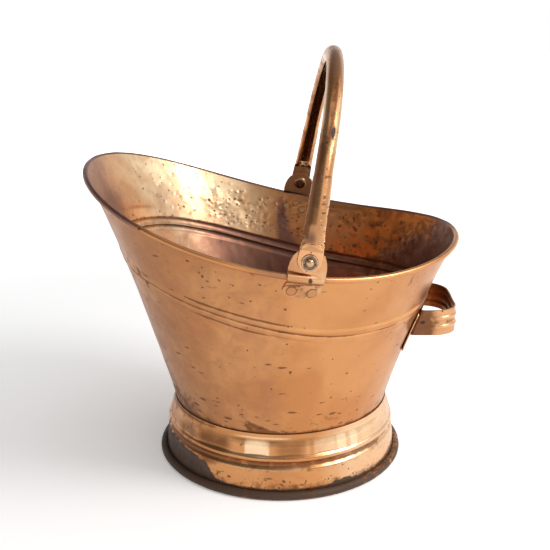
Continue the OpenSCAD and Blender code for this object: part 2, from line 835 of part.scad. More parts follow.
// Half the strap, on the near side: half its outer run, a bend, a leg and a riveted foot
module half_strap() {
    straight_y = strap_mid_y - strap_bend;
    straight_x = strap_mid_x - strap_bend;
    pad_seat = 2 * riveted_gap + plate_sheet;
    pad_face = pad_seat + strap_sheet;
    // A whole number, so that the leg's length comes out exact and it ends where the bend starts
    leg_root = floor(wall(foot_pad_spot[0], foot_pad_spot[1])[0] - foot_pad_length);
    difference() {
        union() {
            translate([strap_mid_x, bite / 2, 0])
                rotate([90, 0, 0])
                    linear_extrude(height = straight_y + bite / 2)
                        strap_section();
            translate([straight_x, -straight_y, 0])
                rotate([0, 0, -90])
                    rotate_extrude(angle = 90)
                        translate([strap_bend, 0])
                            strap_section();
            mirror([0, 1, 0])
                translate([leg_root, strap_mid_y, 0])
                    rotate([90, 0, 90])
                        linear_extrude(height = straight_x - leg_root)
                            strap_section();
        }
        on_wall(foot_pad_spot)
            translate([
                -strap_half_span, -2 * strap_width,
                -4 * strap_width + pad_face - strap_sheet / 2])
                cube([4 * strap_half_span, 4 * strap_width, 4 * strap_width]);
    }
    difference() {
        on_wall(foot_pad_spot)
            translate([-foot_pad_length / 2 - strap_sheet, -strap_width / 2, pad_seat])
                cube([foot_pad_length + strap_sheet, strap_width, strap_sheet]);
        for (spot = strap_rivet_spots)
            on_wall(spot)
                rivet_hole();
    }
}

module strap_handle() {
    color("peru")
        stand() {
            half_strap();
            mirror([0, 1, 0]) half_strap();
        }
}

module strap_rivet(end, far_side) {
    color("saddlebrown")
        stand()
            mirror([0, far_side, 0])
                wall_rivet(strap_rivet_spots[end], plate_sheet + riveted_gap + strap_sheet);
}

body_shell();
rim_wire();
bottom_plate();
bottom_solder();
foot_ring();
foot_wire();
bail();
near_ear();
far_ear();
ear_rivet(0, 0);  // near_front_ear_rivet
ear_rivet(1, 0);  // near_rear_ear_rivet
ear_rivet(0, 1);  // far_front_ear_rivet
ear_rivet(1, 1);  // far_rear_ear_rivet
near_pivot_rivet();
far_pivot_rivet();
near_washer();
far_washer();
strap_plate();
strap_handle();
strap_rivet(1, 0);  // strap_near_upper_rivet
strap_rivet(0, 0);  // strap_near_lower_rivet
strap_rivet(1, 1);  // strap_far_upper_rivet
strap_rivet(0, 1);  // strap_far_lower_rivet
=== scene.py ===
"""Copper coal scuttle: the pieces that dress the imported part, their finishes and the studio.

Sizes are in millimetres from the foot's axis, as a coppersmith would measure them, and
Workshop.solid() moves them into the part's frame in metres. The angle t runs round the
body in degrees: 0 at the pouring lip, 90 at the near side, 180 at the back.
"""

import logging
import math
from dataclasses import dataclass, field
from enum import Enum
from typing import Optional, Sequence, Union

import bpy
import numpy as np
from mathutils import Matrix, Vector


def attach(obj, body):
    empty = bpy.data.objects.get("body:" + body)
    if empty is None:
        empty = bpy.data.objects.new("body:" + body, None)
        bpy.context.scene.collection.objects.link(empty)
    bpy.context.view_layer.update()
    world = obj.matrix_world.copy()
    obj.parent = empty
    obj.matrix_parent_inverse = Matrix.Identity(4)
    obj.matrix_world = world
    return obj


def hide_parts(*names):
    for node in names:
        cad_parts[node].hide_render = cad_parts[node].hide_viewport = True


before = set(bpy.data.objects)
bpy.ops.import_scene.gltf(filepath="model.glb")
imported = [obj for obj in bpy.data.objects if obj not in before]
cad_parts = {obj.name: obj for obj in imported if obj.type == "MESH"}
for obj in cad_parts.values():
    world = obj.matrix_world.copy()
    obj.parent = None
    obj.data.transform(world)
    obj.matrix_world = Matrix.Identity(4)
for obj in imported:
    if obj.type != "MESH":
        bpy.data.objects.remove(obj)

LOG = logging.getLogger("scuttle")
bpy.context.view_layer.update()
Colour = tuple[float, float, float]
Stops = Sequence[tuple[float, float]]
Array = np.ndarray
Material = bpy.types.Material


class Body(Enum):
    """Body of the part that a piece moves with."""

    SCUTTLE = "scuttle"
    BAIL = "bail"


class Slot(Enum):
    """Material slot of the record that a finish is listed under."""

    BODY = "copper_body"
    FOOT = "copper_foot"
    BAIL = "copper_bail"
    FITTINGS = "copper_fittings"
    RIVETS = "copper_rivets"
    PIVOT = "pivot_brass"
    BOTTOM = "bottom_copper"
    IRON = "iron_wire"
    SOLDER = "solder"


class Mark(Enum):
    """Surface mark that is laid on a mesh point by point and read by its finish. Pale paints highlights and
    reflections; tarnish, plum and soot carry stains and also painted shade.
    """

    PAINTED_HIGHLIGHT = "pale"
    AMBER = "amber"
    TARNISH_AND_SHADE = "tarnish"
    PLUM_AND_SHADE = "plum"
    SOOT_AND_SHADE = "soot"
    PITS = "pits"
    SPOTS = "spots"
    DASHES = "dashes"


Marks = dict[Mark, Array]


# Numbers and points


def cosd(angle: Array) -> Array:
    """Cosine of an angle in degrees."""
    return np.cos(np.radians(angle))


def sind(angle: Array) -> Array:
    """Sine of an angle in degrees."""
    return np.sin(np.radians(angle))


def ease(value: Array, low: float, high: float) -> Array:
    """Smooth step from 0 at low to 1 at high."""
    x = np.clip((np.asarray(value, float) - low) / (high - low), 0, 1)
    return x * x * (3 - 2 * x)


def bell(value: Array, middle: Array, reach: Array) -> Array:
    """Soft peak: 1 at the middle and 1/e at the reach on either side of it."""
    return np.exp(-(((value - middle) / reach) ** 2))


def turn_from(start: Array, t: Array) -> Array:
    """Angle from a starting angle to t, between -180 and 180."""
    return (t - start + 180) % 360 - 180


def crowded(count: int, share: float) -> Array:
    """Numbers from -1 to 1, closer together at both ends as the share nears 1."""
    return np.sin(np.linspace(-1, 1, count) * np.pi / 2 * share) / math.sin(np.pi / 2 * share)


def unit(vectors: Array) -> Array:
    """Vectors scaled to length 1."""
    return vectors / np.linalg.norm(vectors, axis=-1, keepdims=True)


def points(x: Array, y: Array, z: Array) -> Array:
    """Points joined from three coordinates that broadcast together."""
    return np.stack(np.broadcast_arrays(x, y, z), axis=-1).astype(float)


@dataclass(frozen=True)
class Ripple:
    """Smooth seeded unevenness in space, made of plane waves."""

    seed: int
    length: float
    height: float
    waves: int = 16

    def at(self, where: Array) -> Array:
        """Height of the unevenness.

        Args:
            where: points in millimetres.

        Returns:
            One height in millimetres for each point, mostly within plus or minus height.
        """
        draw = np.random.default_rng(self.seed)
        heading = unit(draw.normal(size=(self.waves, 3)))
        pace = 2 * np.pi / (self.length * draw.uniform(0.6, 1.7, self.waves))
        phase = draw.uniform(0, 2 * np.pi, self.waves)
        swing = np.sin(where @ (heading * pace[:, None]).T + phase).sum(axis=-1)
        return self.height * swing / math.sqrt(2 * self.waves)


# Meshes


@dataclass
class Solid:
    """Points and faces of one closed piece, with the marks on its surface."""

    points: Array
    faces: list[list[int]]
    marks: Marks = field(default_factory=dict)


def grid_faces(
    rows: int, columns: int, close_rows: bool = False, close_columns: bool = False
) -> list[list[int]]:
    """Four-sided faces of a grid of points kept row by row.

    Args:
        rows: number of rows.
        columns: number of points in a row.
        close_rows: whether the last row joins the first.
        close_columns: whether each row is a closed loop.

    Returns:
        The faces, as indices into the grid.
    """
    row = np.arange(rows if close_rows else rows - 1)
    column = np.arange(columns if close_columns else columns - 1)
    r, c = np.meshgrid(row, column, indexing="ij")
    r2, c2 = (r + 1) % rows, (c + 1) % columns
    corners = [r * columns + c, r * columns + c2, r2 * columns + c2, r2 * columns + c]
    return np.stack(corners, axis=-1).reshape(-1, 4).tolist()


def end_caps(rows: int, columns: int) -> list[list[int]]:
    """Faces that close the first and the last loop of a grid."""
    return [list(range(columns - 1, -1, -1)), [(rows - 1) * columns + i for i in range(columns)]]


def between(rows: Array, place: float) -> Array:
    """Row at a place between two rows of a grid."""
    low = int(np.clip(place, 0, len(rows) - 2))
    return rows[low] + (place - low) * (rows[low + 1] - rows[low])


def plate(outer: Array, inner: Array, rounding: float) -> Solid:
    """Closed sheet between two grids of points, with a rounded edge.

    Args:
        outer: grid of points on the outer face, rows by columns by 3.
        inner: the same grid on the inner face.
        rounding: how far the edge bulges past the grids.

    Returns:
        The sheet.
    """
    rows, columns = outer.shape[:2]
    count = rows * columns
    index = np.arange(count).reshape(rows, columns)
    edge = np.concatenate([index[0, :-1], index[:-1, -1], index[-1, :0:-1], index[:0:-1, 0]])
    inside = index[np.clip(edge // columns, 1, rows - 2), np.clip(edge % columns, 1, columns - 2)]
    middle = (outer.reshape(-1, 3) + inner.reshape(-1, 3)) / 2
    lip = middle[edge] + rounding * unit(middle[edge] - middle[inside])
    faces = grid_faces(rows, columns)
    faces += [[count + i for i in reversed(face)] for face in faces]
    k = len(edge)
    for i in range(k):
        j = (i + 1) % k
        a, b = int(edge[i]), int(edge[j])
        m, n = 2 * count + i, 2 * count + j
        faces += [[b, a, m, n], [n, m, count + a, count + b]]
    return Solid(np.concatenate([outer.reshape(-1, 3), inner.reshape(-1, 3), lip]), faces)


def turned(profile: Stops, sides: int = 40) -> Solid:
    """Solid turned round the Z axis.

    Args:
        profile: points as radius and height, from the foot's middle round to the top's.
        sides: number of points round each ring.

    Returns:
        The turned solid, closed at both ends.
    """
    radius, height = np.array(profile, float).T
    angle = np.arange(sides) * 360 / sides
    rings = points(radius[:, None] * cosd(angle), radius[:, None] * sind(angle), height[:, None])
    count = len(profile)
    faces = grid_faces(count, sides, close_columns=True) + end_caps(count, sides)
    return Solid(rings.reshape(-1, 3), faces)


def smooth_line(stops: Stops, steps: int) -> Array:
    """Smooth curve through points in a plane (Catmull-Rom).

    Args:
        stops: the points.
        steps: number of pieces between one point and the next.

    Returns:
        The curve's points, two columns.
    """
    stop = np.array(stops, float)
    stop = np.concatenate([[2 * stop[0] - stop[1]], stop, [2 * stop[-1] - stop[-2]]])
    line = []
    share = np.arange(steps)[:, None] / steps
    for a, b, c, d in zip(stop, stop[1:], stop[2:], stop[3:]):
        line.append(
            b + 0.5 * share * (c - a) + share**2 * (a - 2.5 * b + 2 * c - 0.5 * d)
            + share**3 * (1.5 * b - 0.5 * a - 1.5 * c + 0.5 * d)
        )
    return np.concatenate(line + [stop[-2][None]])


# The wall's form


@dataclass(frozen=True)
class WallForm:
    """Shape of the flared wall and its rim, which the fittings are fixed to."""

    mouth_length: float = 383.4
    mouth_width: float = 349.0
    mouth_taper: float = 25.3
    mouth_squareness: float = 10.9
    mouth_setback: float = 7.1
    lip_height: float = 320.3
    side_height: float = 252.7
    back_height: float = 247.5
    lip_sweep: float = -1.4
    base_radius: float = 115.8
    foot_height: float = 66.0
    wall_flare: float = 4.1
    sheet: float = 1.1
    wire_hole: float = 1.65
    swage_drop: float = 73.7
    swage_front_drop: float = 7.6
    swage_end_drop: float = 4.9
    bead_width: float = 9.6
    strap_reach: float = 187.5

    @property
    def roll(self) -> float:
        """Outer radius of the sheet rolled round the rim wire."""
        return self.wire_hole + self.sheet

    @property
    def shift(self) -> float:
        """How far the part's frame lies from the foot's axis."""
        lip = -self.mouth_setback - self.mouth_length / 2 - self.roll
        return -(lip + self.strap_reach) / 2

    def radial(self, t: Array) -> Array:
        """Level direction away from the foot's axis."""
        return points(-cosd(t), -sind(t), 0 * np.asarray(t, float))

    def half_width(self, t: Array) -> Array:
        """Distance of the rim wire from the middle plane."""
        plain = self.mouth_width / 2 + self.mouth_taper * cosd(t)
        return (plain + self.mouth_squareness * (1 + cosd(2 * t))) * sind(t)

    def rim(self, t: Array) -> Array:
        """Centre of the rim wire.

        Args:
            t: angle round the body.

        Returns:
            The point.
        """
        t = np.asarray(t, float)
        ends = (self.lip_height + self.back_height) / 2
        odd = (self.lip_height - self.back_height) / 2 - self.lip_sweep
        height = (
            (ends + self.side_height) / 2 + odd * cosd(t) + (ends - self.side_height) / 2 * cosd(2 * t)
            + self.lip_sweep * cosd(3 * t)
        )
        along = -self.mouth_setback - self.mouth_length / 2 * cosd(t)
        return points(along, -self.half_width(t), height)

    def base(self, t: Array) -> Array:
        """Outer face of the wall where it enters the foot's collar."""
        return self.base_radius * self.radial(t) + [0, 0, self.foot_height]

    def rim_axes(self, t: Array) -> tuple[Array, Array]:
        """Directions out of the wall and up it, at the rim.

        Args:
            t: angle round the body.

        Returns:
            The direction out of the wall and the direction up it.
        """
        t = np.asarray(t, float)
        along = unit(self.rim(t + 1) - self.rim(t - 1))
        slope = self.rim(t) - self.base(t) + 4 * self.wall_flare * self.radial(t)
        out = unit(np.cross(along, slope))
        return out, np.cross(out, along)

    def rim_point(self, t: Array, out: Array, up: Array) -> Array:
        """Point beside the rim wire.

        Args:
            t: angle round the body.
            out: distance out of the wall.
            up: distance up the wall.

        Returns:
            The point.
        """
        away, above = self.rim_axes(t)
        out, up = np.asarray(out, float), np.asarray(up, float)
        return self.rim(t) + out[..., None] * away + up[..., None] * above

    def wall(self, t: Array, share: Array) -> Array:
        """Outer face of the wall.

        Args:
            t: angle round the body.
            share: how far up the wall, from 0 at the collar to 1 at the rim.

        Returns:
            The point.
        """
        share = np.asarray(share, float)[..., None]
        low, top = self.base(t), self.rim_point(t, -self.wire_hole, 0)
        hollow = 4 * self.wall_flare * share * (1 - share)
        return low + share * (top - low) - hollow * self.radial(t)

    def wall_out(self, t: Array, share: Array) -> Array:
        """Direction straight out of the wall.

        Args:
            t: angle round the body.
            share: share of the wall.

        Returns:
            The direction.
        """
        t, share = np.asarray(t, float), np.asarray(share, float)
        across = self.wall(t + 1, share) - self.wall(t - 1, share)
        return unit(np.cross(across, self.wall(t, share + 0.01) - self.wall(t, share - 0.01)))

    def wall_length(self, t: Array) -> Array:
        """Length of the wall from collar to rim."""
        return np.linalg.norm(self.rim_point(t, -self.wire_hole, 0) - self.base(t), axis=-1)

    def share_below_rim(self, t: Array, drop: Array) -> Array:
        """Share of the wall that lies a distance below the rim."""
        return 1 - drop / self.wall_length(t)

    def swage_middle(self, t: Array) -> Array:
        """Distance below the rim of the groove between the swage's two beads."""
        return self.swage_drop + self.swage_front_drop * cosd(t) + self.swage_end_drop * cosd(2 * t)

    def find(
        self, axis: int, value: Array, z: Array, t: float, share: float
    ) -> tuple[Array, Array]:
        """Walks along the wall to a given height and a given x or y.

        Args:
            axis: 0 where value is x, 1 where it is y.
            value: the coordinate wanted.
            z: the height wanted.
            t: angle round the body to start from.
            share: share of the wall to start from.

        Returns:
            The angle and the share found.
        """
        value, z = np.broadcast_arrays(np.asarray(value, float), np.asarray(z, float))
        t, share = np.full(value.shape, float(t)), np.full(value.shape, float(share))
        for _ in range(9):
            here = self.wall(t, share)
            across = (self.wall(t + 1, share) - here)[..., axis]
            rise = (self.wall(t, share + 0.01) - here)[..., 2] / 0.01
            t = t + (value - here[..., axis]) / across
            share = share + (z - here[..., 2]) / rise
        return t, share


WALL = WallForm()


@dataclass(frozen=True)
class Seat:
    """Place that a turned fitting sits in: its origin and the three directions of its axes."""

    origin: Array
    axes: Array

    def place(self, solid: Solid) -> Solid:
        """The solid moved from its own axes to this seat."""
        return Solid(self.origin + solid.points @ self.axes, solid.faces, solid.marks)

    @staticmethod
    def on_wall(t: float, share: float) -> "Seat":
        """Seat on the wall, its third axis straight out of it.

        Args:
            t: angle round the body.
            share: share of the wall.

        Returns:
            The seat.
        """
        out = WALL.wall_out(t, share)
        along = unit(np.cross([0, 0, 1], out))
        return Seat(WALL.wall(t, share), np.array([along, np.cross(out, along), out]))


def mirrored(solid: Solid) -> Solid:
    """The solid on the other side of the middle plane."""
    return Solid(solid.points * [1, -1, 1], [f[::-1] for f in solid.faces], solid.marks)


# Shader maths


class Value:
    """A shader value: arithmetic on it adds Math nodes."""

    def __init__(self, paint: "Paint", socket: bpy.types.NodeSocket) -> None:
        """Keeps the node tree and the socket that the value comes from."""
        self.paint = paint
        self.socket = socket

    def math(self, operation: str, first: "Number", second: "Number") -> "Value":
        """A Math node on two values."""
        return self.paint.node("ShaderNodeMath", {"operation": operation}, {0: first, 1: second})

    def __add__(self, other: "Number") -> "Value":
        """This value plus another."""
        return self.math("ADD", self, other)

    def __radd__(self, other: "Number") -> "Value":
        """Another value plus this one."""
        return self.math("ADD", other, self)

    def __sub__(self, other: "Number") -> "Value":
        """This value less another."""
        return self.math("SUBTRACT", self, other)

    def __rsub__(self, other: "Number") -> "Value":
        """Another value less this one."""
        return self.math("SUBTRACT", other, self)

    def __mul__(self, other: "Number") -> "Value":
        """This value times another."""
        return self.math("MULTIPLY", self, other)

    def __rmul__(self, other: "Number") -> "Value":
        """Another value times this one."""
        return self.math("MULTIPLY", other, self)


Number = Union[Value, float]
Shade = Union[Value, Colour]


class Paint:
    """Node tree of one finish or of the studio's floor and sky."""

    def __init__(self, owner: Union[Material, bpy.types.World]) -> None:
        """Clears the owner's node tree and keeps it.

        Args:
            owner: the material or world.
        """
        owner.use_nodes = True
        self.tree = owner.node_tree
        self.tree.nodes.clear()

    def node(
        self, kind: str, settings: Optional[dict] = None, inputs: Optional[dict] = None,
        output: Union[int, str] = 0,
    ) -> Value:
        """Adds one node.

        Args:
            kind: the node's type.
            settings: its settings, which are set first.
            inputs: its sockets by name or number, each a value to link or a constant.
            output: the output wanted.

        Returns:
            The output as a value.
        """
        made = self.tree.nodes.new(kind)
        for name, setting in (settings or {}).items():
            setattr(made, name, setting)
        for name, given in (inputs or {}).items():
            socket = made.inputs[name]
            if isinstance(given, Value):
                self.tree.links.new(given.socket, socket)
            elif socket.type == "RGBA" and len(given) == 3:
                socket.default_value = (*given, 1)
            else:
                socket.default_value = given
        return Value(self, made.outputs[output] if made.outputs else None)

    def mix(self, first: Shade, second: Shade, factor: Number) -> Value:
        """Mixes two colours."""
        settings = {"data_type": "RGBA", "clamp_factor": True}
        return self.node("ShaderNodeMix", settings, {0: factor, 6: first, 7: second}, 2)

    def band(self, value: Value, low: Number, high: Number) -> Value:
        """Smooth step of a value, from 0 at low to 1 at high.

        Args:
            value: the value.
            low: where the step starts.
            high: where the step ends.

        Returns:
            The step.
        """
        settings = {"interpolation_type": "SMOOTHSTEP", "clamp": True}
        ends = {"Value": value, "From Min": low, "From Max": high}
        return self.node("ShaderNodeMapRange", settings, ends)

    def mark(self, mark: Mark) -> Value:
        """A surface mark laid on the mesh."""
        return self.node("ShaderNodeAttribute", {"attribute_name": mark.value}, output="Fac")

    def place(self, stretch: Colour = (1, 1, 1)) -> Value:
        """Place on the piece in metres, stretched along each axis.

        Args:
            stretch: how much denser the texture is along each axis.

        Returns:
            The place.
        """
        where = self.node("ShaderNodeTexCoord", output="Object")
        if stretch == (1, 1, 1):
            return where
        return self.node("ShaderNodeMapping", inputs={"Vector": where, "Scale": stretch})

    def clouds(
        self, size: float, detail: float = 3.0, rough: float = 0.55,
        warp: float = 0.0, stretch: Colour = (1, 1, 1),
    ) -> Value:
        """Soft cloudy variation round 0.5.

        Args:
            size: size of the clouds in metres.
            detail: how many finer layers it has.
            rough: weight of the finer layers.
            warp: how much it is distorted.
            stretch: how much denser it is along each axis.

        Returns:
            The variation.
        """
        inputs = {
            "Vector": self.place(stretch), "Scale": 1 / size, "Detail": detail,
            "Roughness": rough, "Distortion": warp,
        }
        return self.node("ShaderNodeTexNoise", inputs=inputs)

    def specks(
        self, cell: float, core: float, edge: float, amount: Number, stretch: Colour = (1, 1, 1)
    ) -> Value:
        """Scattered round specks.

        Args:
            cell: size in metres of the cells that may hold one speck each.
            core: radius of a speck's dark core, as a share of the cell.
            edge: radius at which the speck has faded.
            amount: share of the cells that hold one.
            stretch: how much shorter the specks are along each axis.

        Returns:
            1 in a speck and 0 outside it.
        """
        place = self.place(stretch)
        warp = self.node(
            "ShaderNodeTexNoise", inputs={"Vector": place, "Scale": 1.7 / cell, "Detail": 2.0},
            output="Color",
        )
        where = self.node(
            "ShaderNodeVectorMath", {"operation": "MULTIPLY_ADD"},
            {0: warp, 1: (cell * 0.7,) * 3, 2: place},
        )
        inputs = {"Vector": where, "Scale": 1 / cell}
        distance = self.node("ShaderNodeTexVoronoi", inputs=inputs, output="Distance")
        lot = self.node("ShaderNodeTexVoronoi", inputs=inputs, output="Color")
        draw = self.node("ShaderNodeSeparateColor", inputs={"Color": lot})
        size = self.node("ShaderNodeSeparateColor", inputs={"Color": lot}, output=1)
        chosen = self.band(draw + amount, 0.99, 1.01)
        reach = size * 0.7 + 0.3
        return (1 - self.band(distance, reach * core, reach * edge)) * chosen

    def surface(self, shader: Value) -> None:
        """Ends the tree with a shader as the surface."""
        self.node("ShaderNodeOutputMaterial", inputs={"Surface": shader})

    def metal(
        self, colour: Value, metallic: Value, roughness: Value, relief: Value, strength: float, depth: float
    ) -> None:
        """Ends the tree with a metal surface.

        Args:
            colour: its colour.
            metallic: how far it is bare metal.
            roughness: its roughness.
            relief: height of its fine relief.
            strength: strength of the relief.
            depth: depth in metres of a relief of 1.
        """
        bump = {"Strength": strength, "Distance": depth, "Height": relief}
        inputs = {
            "Base Color": colour, "Metallic": metallic, "Roughness": roughness,
            "Normal": self.node("ShaderNodeBump", inputs=bump),
        }
        self.surface(self.node("ShaderNodeBsdfPrincipled", inputs=inputs))


@dataclass(frozen=True)
class CopperFinish:
    """Old polished copper with browned patches, sooty patches, spots, pits and rubbing marks, and with the
    highlights, reflections and shade that the pieces paint into its marks.
    """

    name: str
    slot: Slot
    clean: Colour = (0.61, 0.288, 0.113)
    warm: Colour = (0.52, 0.225, 0.084)
    pale: Colour = (0.88, 0.68, 0.43)
    amber: Colour = (0.43, 0.135, 0.03)
    plum: Colour = (0.22, 0.105, 0.078)
    brown: Colour = (0.17, 0.066, 0.028)
    black: Colour = (0.036, 0.021, 0.017)
    spot: Colour = (0.13, 0.046, 0.024)
    roughness: float = 0.33
    pitting: float = 0.04
    grain: float = 1.0
    spotted: bool = False

    def make(self) -> Material:
        """Makes the material.

        Returns:
            The copper material.
        """
        material = bpy.data.materials.new(self.name)
        paint = Paint(material)
        wide = paint.clouds(0.075, 3, 0.5, 0.4)
        mottle = paint.clouds(0.014, 5, 0.62, 0.6)
        fine = paint.clouds(0.0024, 4, 0.6)
        rubbed = paint.clouds(0.006, 3, 0.6, 0.2, (0.12, 0.12, 1))
        plum = paint.band(paint.mark(Mark.PLUM_AND_SHADE) + (mottle - 0.5) * 0.5, 0.15, 0.85)
        tarnish = paint.band(paint.mark(Mark.TARNISH_AND_SHADE) + (mottle - 0.5) * 1.1, 0.34, 0.66)
        soot = paint.band(paint.mark(Mark.SOOT_AND_SHADE) + (mottle - 0.5) * 0.9, 0.4, 0.56)
        few = paint.specks(0.0062, 0.14, 0.3, paint.mark(Mark.PITS) * 0.5 + self.pitting)
        many = paint.specks(0.0034, 0.2, 0.42, paint.mark(Mark.PITS) * 0.6 + self.pitting * 0.3)
        pits = few.math("MAXIMUM", few, many)
        colour = paint.mix(self.clean, self.warm, paint.band(wide, 0.38, 0.64))
        # Pale paints the highlights and reflections that the pieces lay on; on the foot, amber paints dark
        # reflections on its facets.
        colour = paint.mix(colour, self.pale, paint.mark(Mark.PAINTED_HIGHLIGHT))
        colour = paint.mix(colour, self.amber, paint.mark(Mark.AMBER))
        # Plum, brown and black paint stains, and also the shade that the pieces lay into these marks.
        colour = paint.mix(colour, self.plum, plum)
        colour = paint.mix(colour, self.warm, paint.band(mottle, 0.5, 0.74) * 0.3)
        colour = paint.mix(colour, self.brown, tarnish * 0.8)
        colour = paint.mix(colour, self.black, soot * 0.93)
        if self.spotted:
            spots = paint.specks(0.013, 0.09, 0.17, paint.mark(Mark.SPOTS))
            dashes = paint.specks(0.0052, 0.24, 0.46, paint.mark(Mark.DASHES), (0.4, 0.4, 1.25))
            placed = paint.band(paint.mark(Mark.SPOTS) + (fine - 0.5) * 0.5, 0.5, 0.82)
            stains = spots.math("MAXIMUM", spots.math("MAXIMUM", spots, placed), dashes)
            colour = paint.mix(colour, self.spot, stains * 0.75)
        colour = paint.mix(colour, self.black, pits * 0.85)
        roughness = (
            self.roughness + (mottle - 0.5) * 0.16 + (rubbed - 0.5) * 0.1 + plum * 0.1 + tarnish * 0.14
            + soot * 0.24 + pits * 0.3
        )
        relief = (
            (rubbed - 0.5) * (0.05 * self.grain) + (fine - 0.5) * (0.1 * self.grain)
            + (mottle - 0.5) * 0.22 + soot * (fine - 0.5) * 0.5 - pits * 0.8
        )
        paint.metal(colour, 1 - soot * 0.7 - pits * 0.4, roughness, relief, 0.55, 0.0004)
        return material


@dataclass(frozen=True)
class DullMetal:
    """Iron, solder or brass that has gone dull, with rust or grime in its clouds."""

    name: str
    slot: Slot
    metal: Colour
    grime: Colour
    roughness: float
    coverage: float = 0.5

    def make(self) -> Material:
        """Makes the material.

        Returns:
            The metal material.
        """
        material = bpy.data.materials.new(self.name)
        paint = Paint(material)
        mottle = paint.clouds(0.006, 5, 0.6, 0.5)
        fine = paint.clouds(0.0013, 3, 0.6)
        start = 0.72 - 0.4 * self.coverage
        grime = paint.band(mottle + (fine - 0.5) * 0.3, start, start + 0.18)
        colour = paint.mix(self.metal, self.grime, grime + paint.mark(Mark.SOOT_AND_SHADE))
        roughness = self.roughness + grime * 0.3 + (fine - 0.5) * 0.15
        paint.metal(colour, 1 - grime * 0.6, roughness, mottle * 0.3 + fine * 0.2, 0.5, 0.0003)
        return material


class Finish(Enum):
    """Every finish on the scuttle."""

    BODY = CopperFinish("body_copper", Slot.BODY, spotted=True)
    # On the foot, pale is the colour of painted highlights and amber the colour of painted dark reflections
    # on its facets.
    FOOT = CopperFinish(
        "foot_copper", Slot.FOOT, pale=(0.94, 0.67, 0.42), amber=(0.155, 0.062, 0.027),
        black=(0.074, 0.043, 0.028), roughness=0.26, pitting=0.02, spotted=True,
    )
    BAIL = CopperFinish(
        "bail_copper", Slot.BAIL, clean=(0.64, 0.325, 0.152), warm=(0.5, 0.235, 0.1),
        roughness=0.25, spotted=True,
    )
    FITTINGS = CopperFinish(
        "fittings_copper", Slot.FITTINGS, clean=(0.6, 0.31, 0.145), warm=(0.5, 0.235, 0.1), roughness=0.32
    )
    RIVETS = CopperFinish(
        "rivet_copper", Slot.RIVETS, clean=(0.54, 0.26, 0.115), warm=(0.44, 0.19, 0.08), roughness=0.34
    )
    BRASS = DullMetal("pivot_brass", Slot.PIVOT, (0.53, 0.35, 0.18), (0.2, 0.09, 0.05), 0.2, 0.42)
    WORN_BRASS = DullMetal("washer_brass", Slot.PIVOT, (0.46, 0.3, 0.205), (0.12, 0.062, 0.042), 0.26)
    BOTTOM = CopperFinish(
        "bottom_copper", Slot.BOTTOM, clean=(0.075, 0.03, 0.016), warm=(0.05, 0.02, 0.011), roughness=0.55
    )
    IRON = DullMetal("rim_iron", Slot.IRON, (0.16, 0.14, 0.13), (0.1, 0.045, 0.02), 0.5)
    SOLDER = DullMetal("seam_solder", Slot.SOLDER, (0.12, 0.09, 0.075), (0.05, 0.03, 0.02), 0.55, 0.7)


# The workshop


@dataclass
class Workshop:
    """Turns solids into pieces in the part's frame, rides and dresses them."""

    materials: dict[Finish, Material] = field(default_factory=dict)

    def material(self, finish: Finish) -> Material:
        """The material of a finish, made the first time.

        Args:
            finish: the finish.

        Returns:
            Its material.
        """
        if finish not in self.materials:
            self.materials[finish] = finish.value.make()
        return self.materials[finish]

    def piece(
        self, name: str, solid: Solid, body: Body, finish: Finish, node: str, sharp: float = 42.0
    ) -> bpy.types.Object:
        """Makes one piece of the scuttle.

        Args:
            name: the piece's name.
            solid: its shape in millimetres from the foot's axis.
            body: the body that it moves with.
            finish: its finish.
            node: the CAD node that it stands for.
            sharp: least angle in degrees between faces that meet in a sharp edge.

        Returns:
            The piece.
        """
        place = (solid.points + [WALL.shift, 0, 0]) / 1000
        first = [f[:3] for f in solid.faces] + [[f[0], f[2], f[3]] for f in solid.faces if len(f) == 4]
        a, b, c = (place[np.array(first)[:, i]] for i in range(3))
        faces = solid.faces
        if np.einsum("ij,ij->i", a, np.cross(b, c)).sum() < 0:
            faces = [f[::-1] for f in faces]
        mesh = bpy.data.meshes.new(name)
        mesh.from_pydata(place.tolist(), [], faces)
        for mark, level in solid.marks.items():
            attribute = mesh.attributes.new(mark.value, "FLOAT", "POINT")
            attribute.data.foreach_set("value", np.clip(level, 0, 1).astype(np.float32).ravel())
        mesh.shade_smooth()
        mesh.set_sharp_from_angle(angle=math.radians(sharp))
        mesh.materials.append(self.material(finish))
        made = bpy.data.objects.new(name, mesh)
        bpy.context.scene.collection.objects.link(made)
        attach(made, body.value)
        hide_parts(node)
        LOG.info("%s: %d points, rides on %s", name, len(place), body.value)
        return made

    def pair(self, name: str, solid: Solid, finish: Finish, node: str, sharp: float = 42.0) -> None:
        """Makes a fixed piece on the near side and its mirror image on the far side.

        Args:
            name: the pieces' name, with {} for near or far.
            solid: the near piece's shape.
            finish: their finish.
            node: the CAD node that each stands for, with {} for near or far.
            sharp: least angle in degrees between faces that meet in a sharp edge.
        """
        for side, shape in (("near", solid), ("far", mirrored(solid))):
            self.piece(name.format(side), shape, Body.SCUTTLE, finish, node.format(side), sharp)

    def dress_node(self, name: str, finish: Finish) -> None:
        """Gives a CAD node that stays in view its finish.

        Args:
            name: the node's name.
            finish: its finish.
        """
        node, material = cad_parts[name], self.material(finish)
        if not node.material_slots:
            node.data.materials.append(material)
        for slot in node.material_slots:
            slot.material = material
        LOG.info("%s: dressed CAD node", name)


# Body


@dataclass(frozen=True)
class Dimple:
    """One dent or blister in the wall, with a dark spot in its middle where stain is 1."""

    t: float
    share: float
    radius: float
    height: float
    stain: float = 0.0


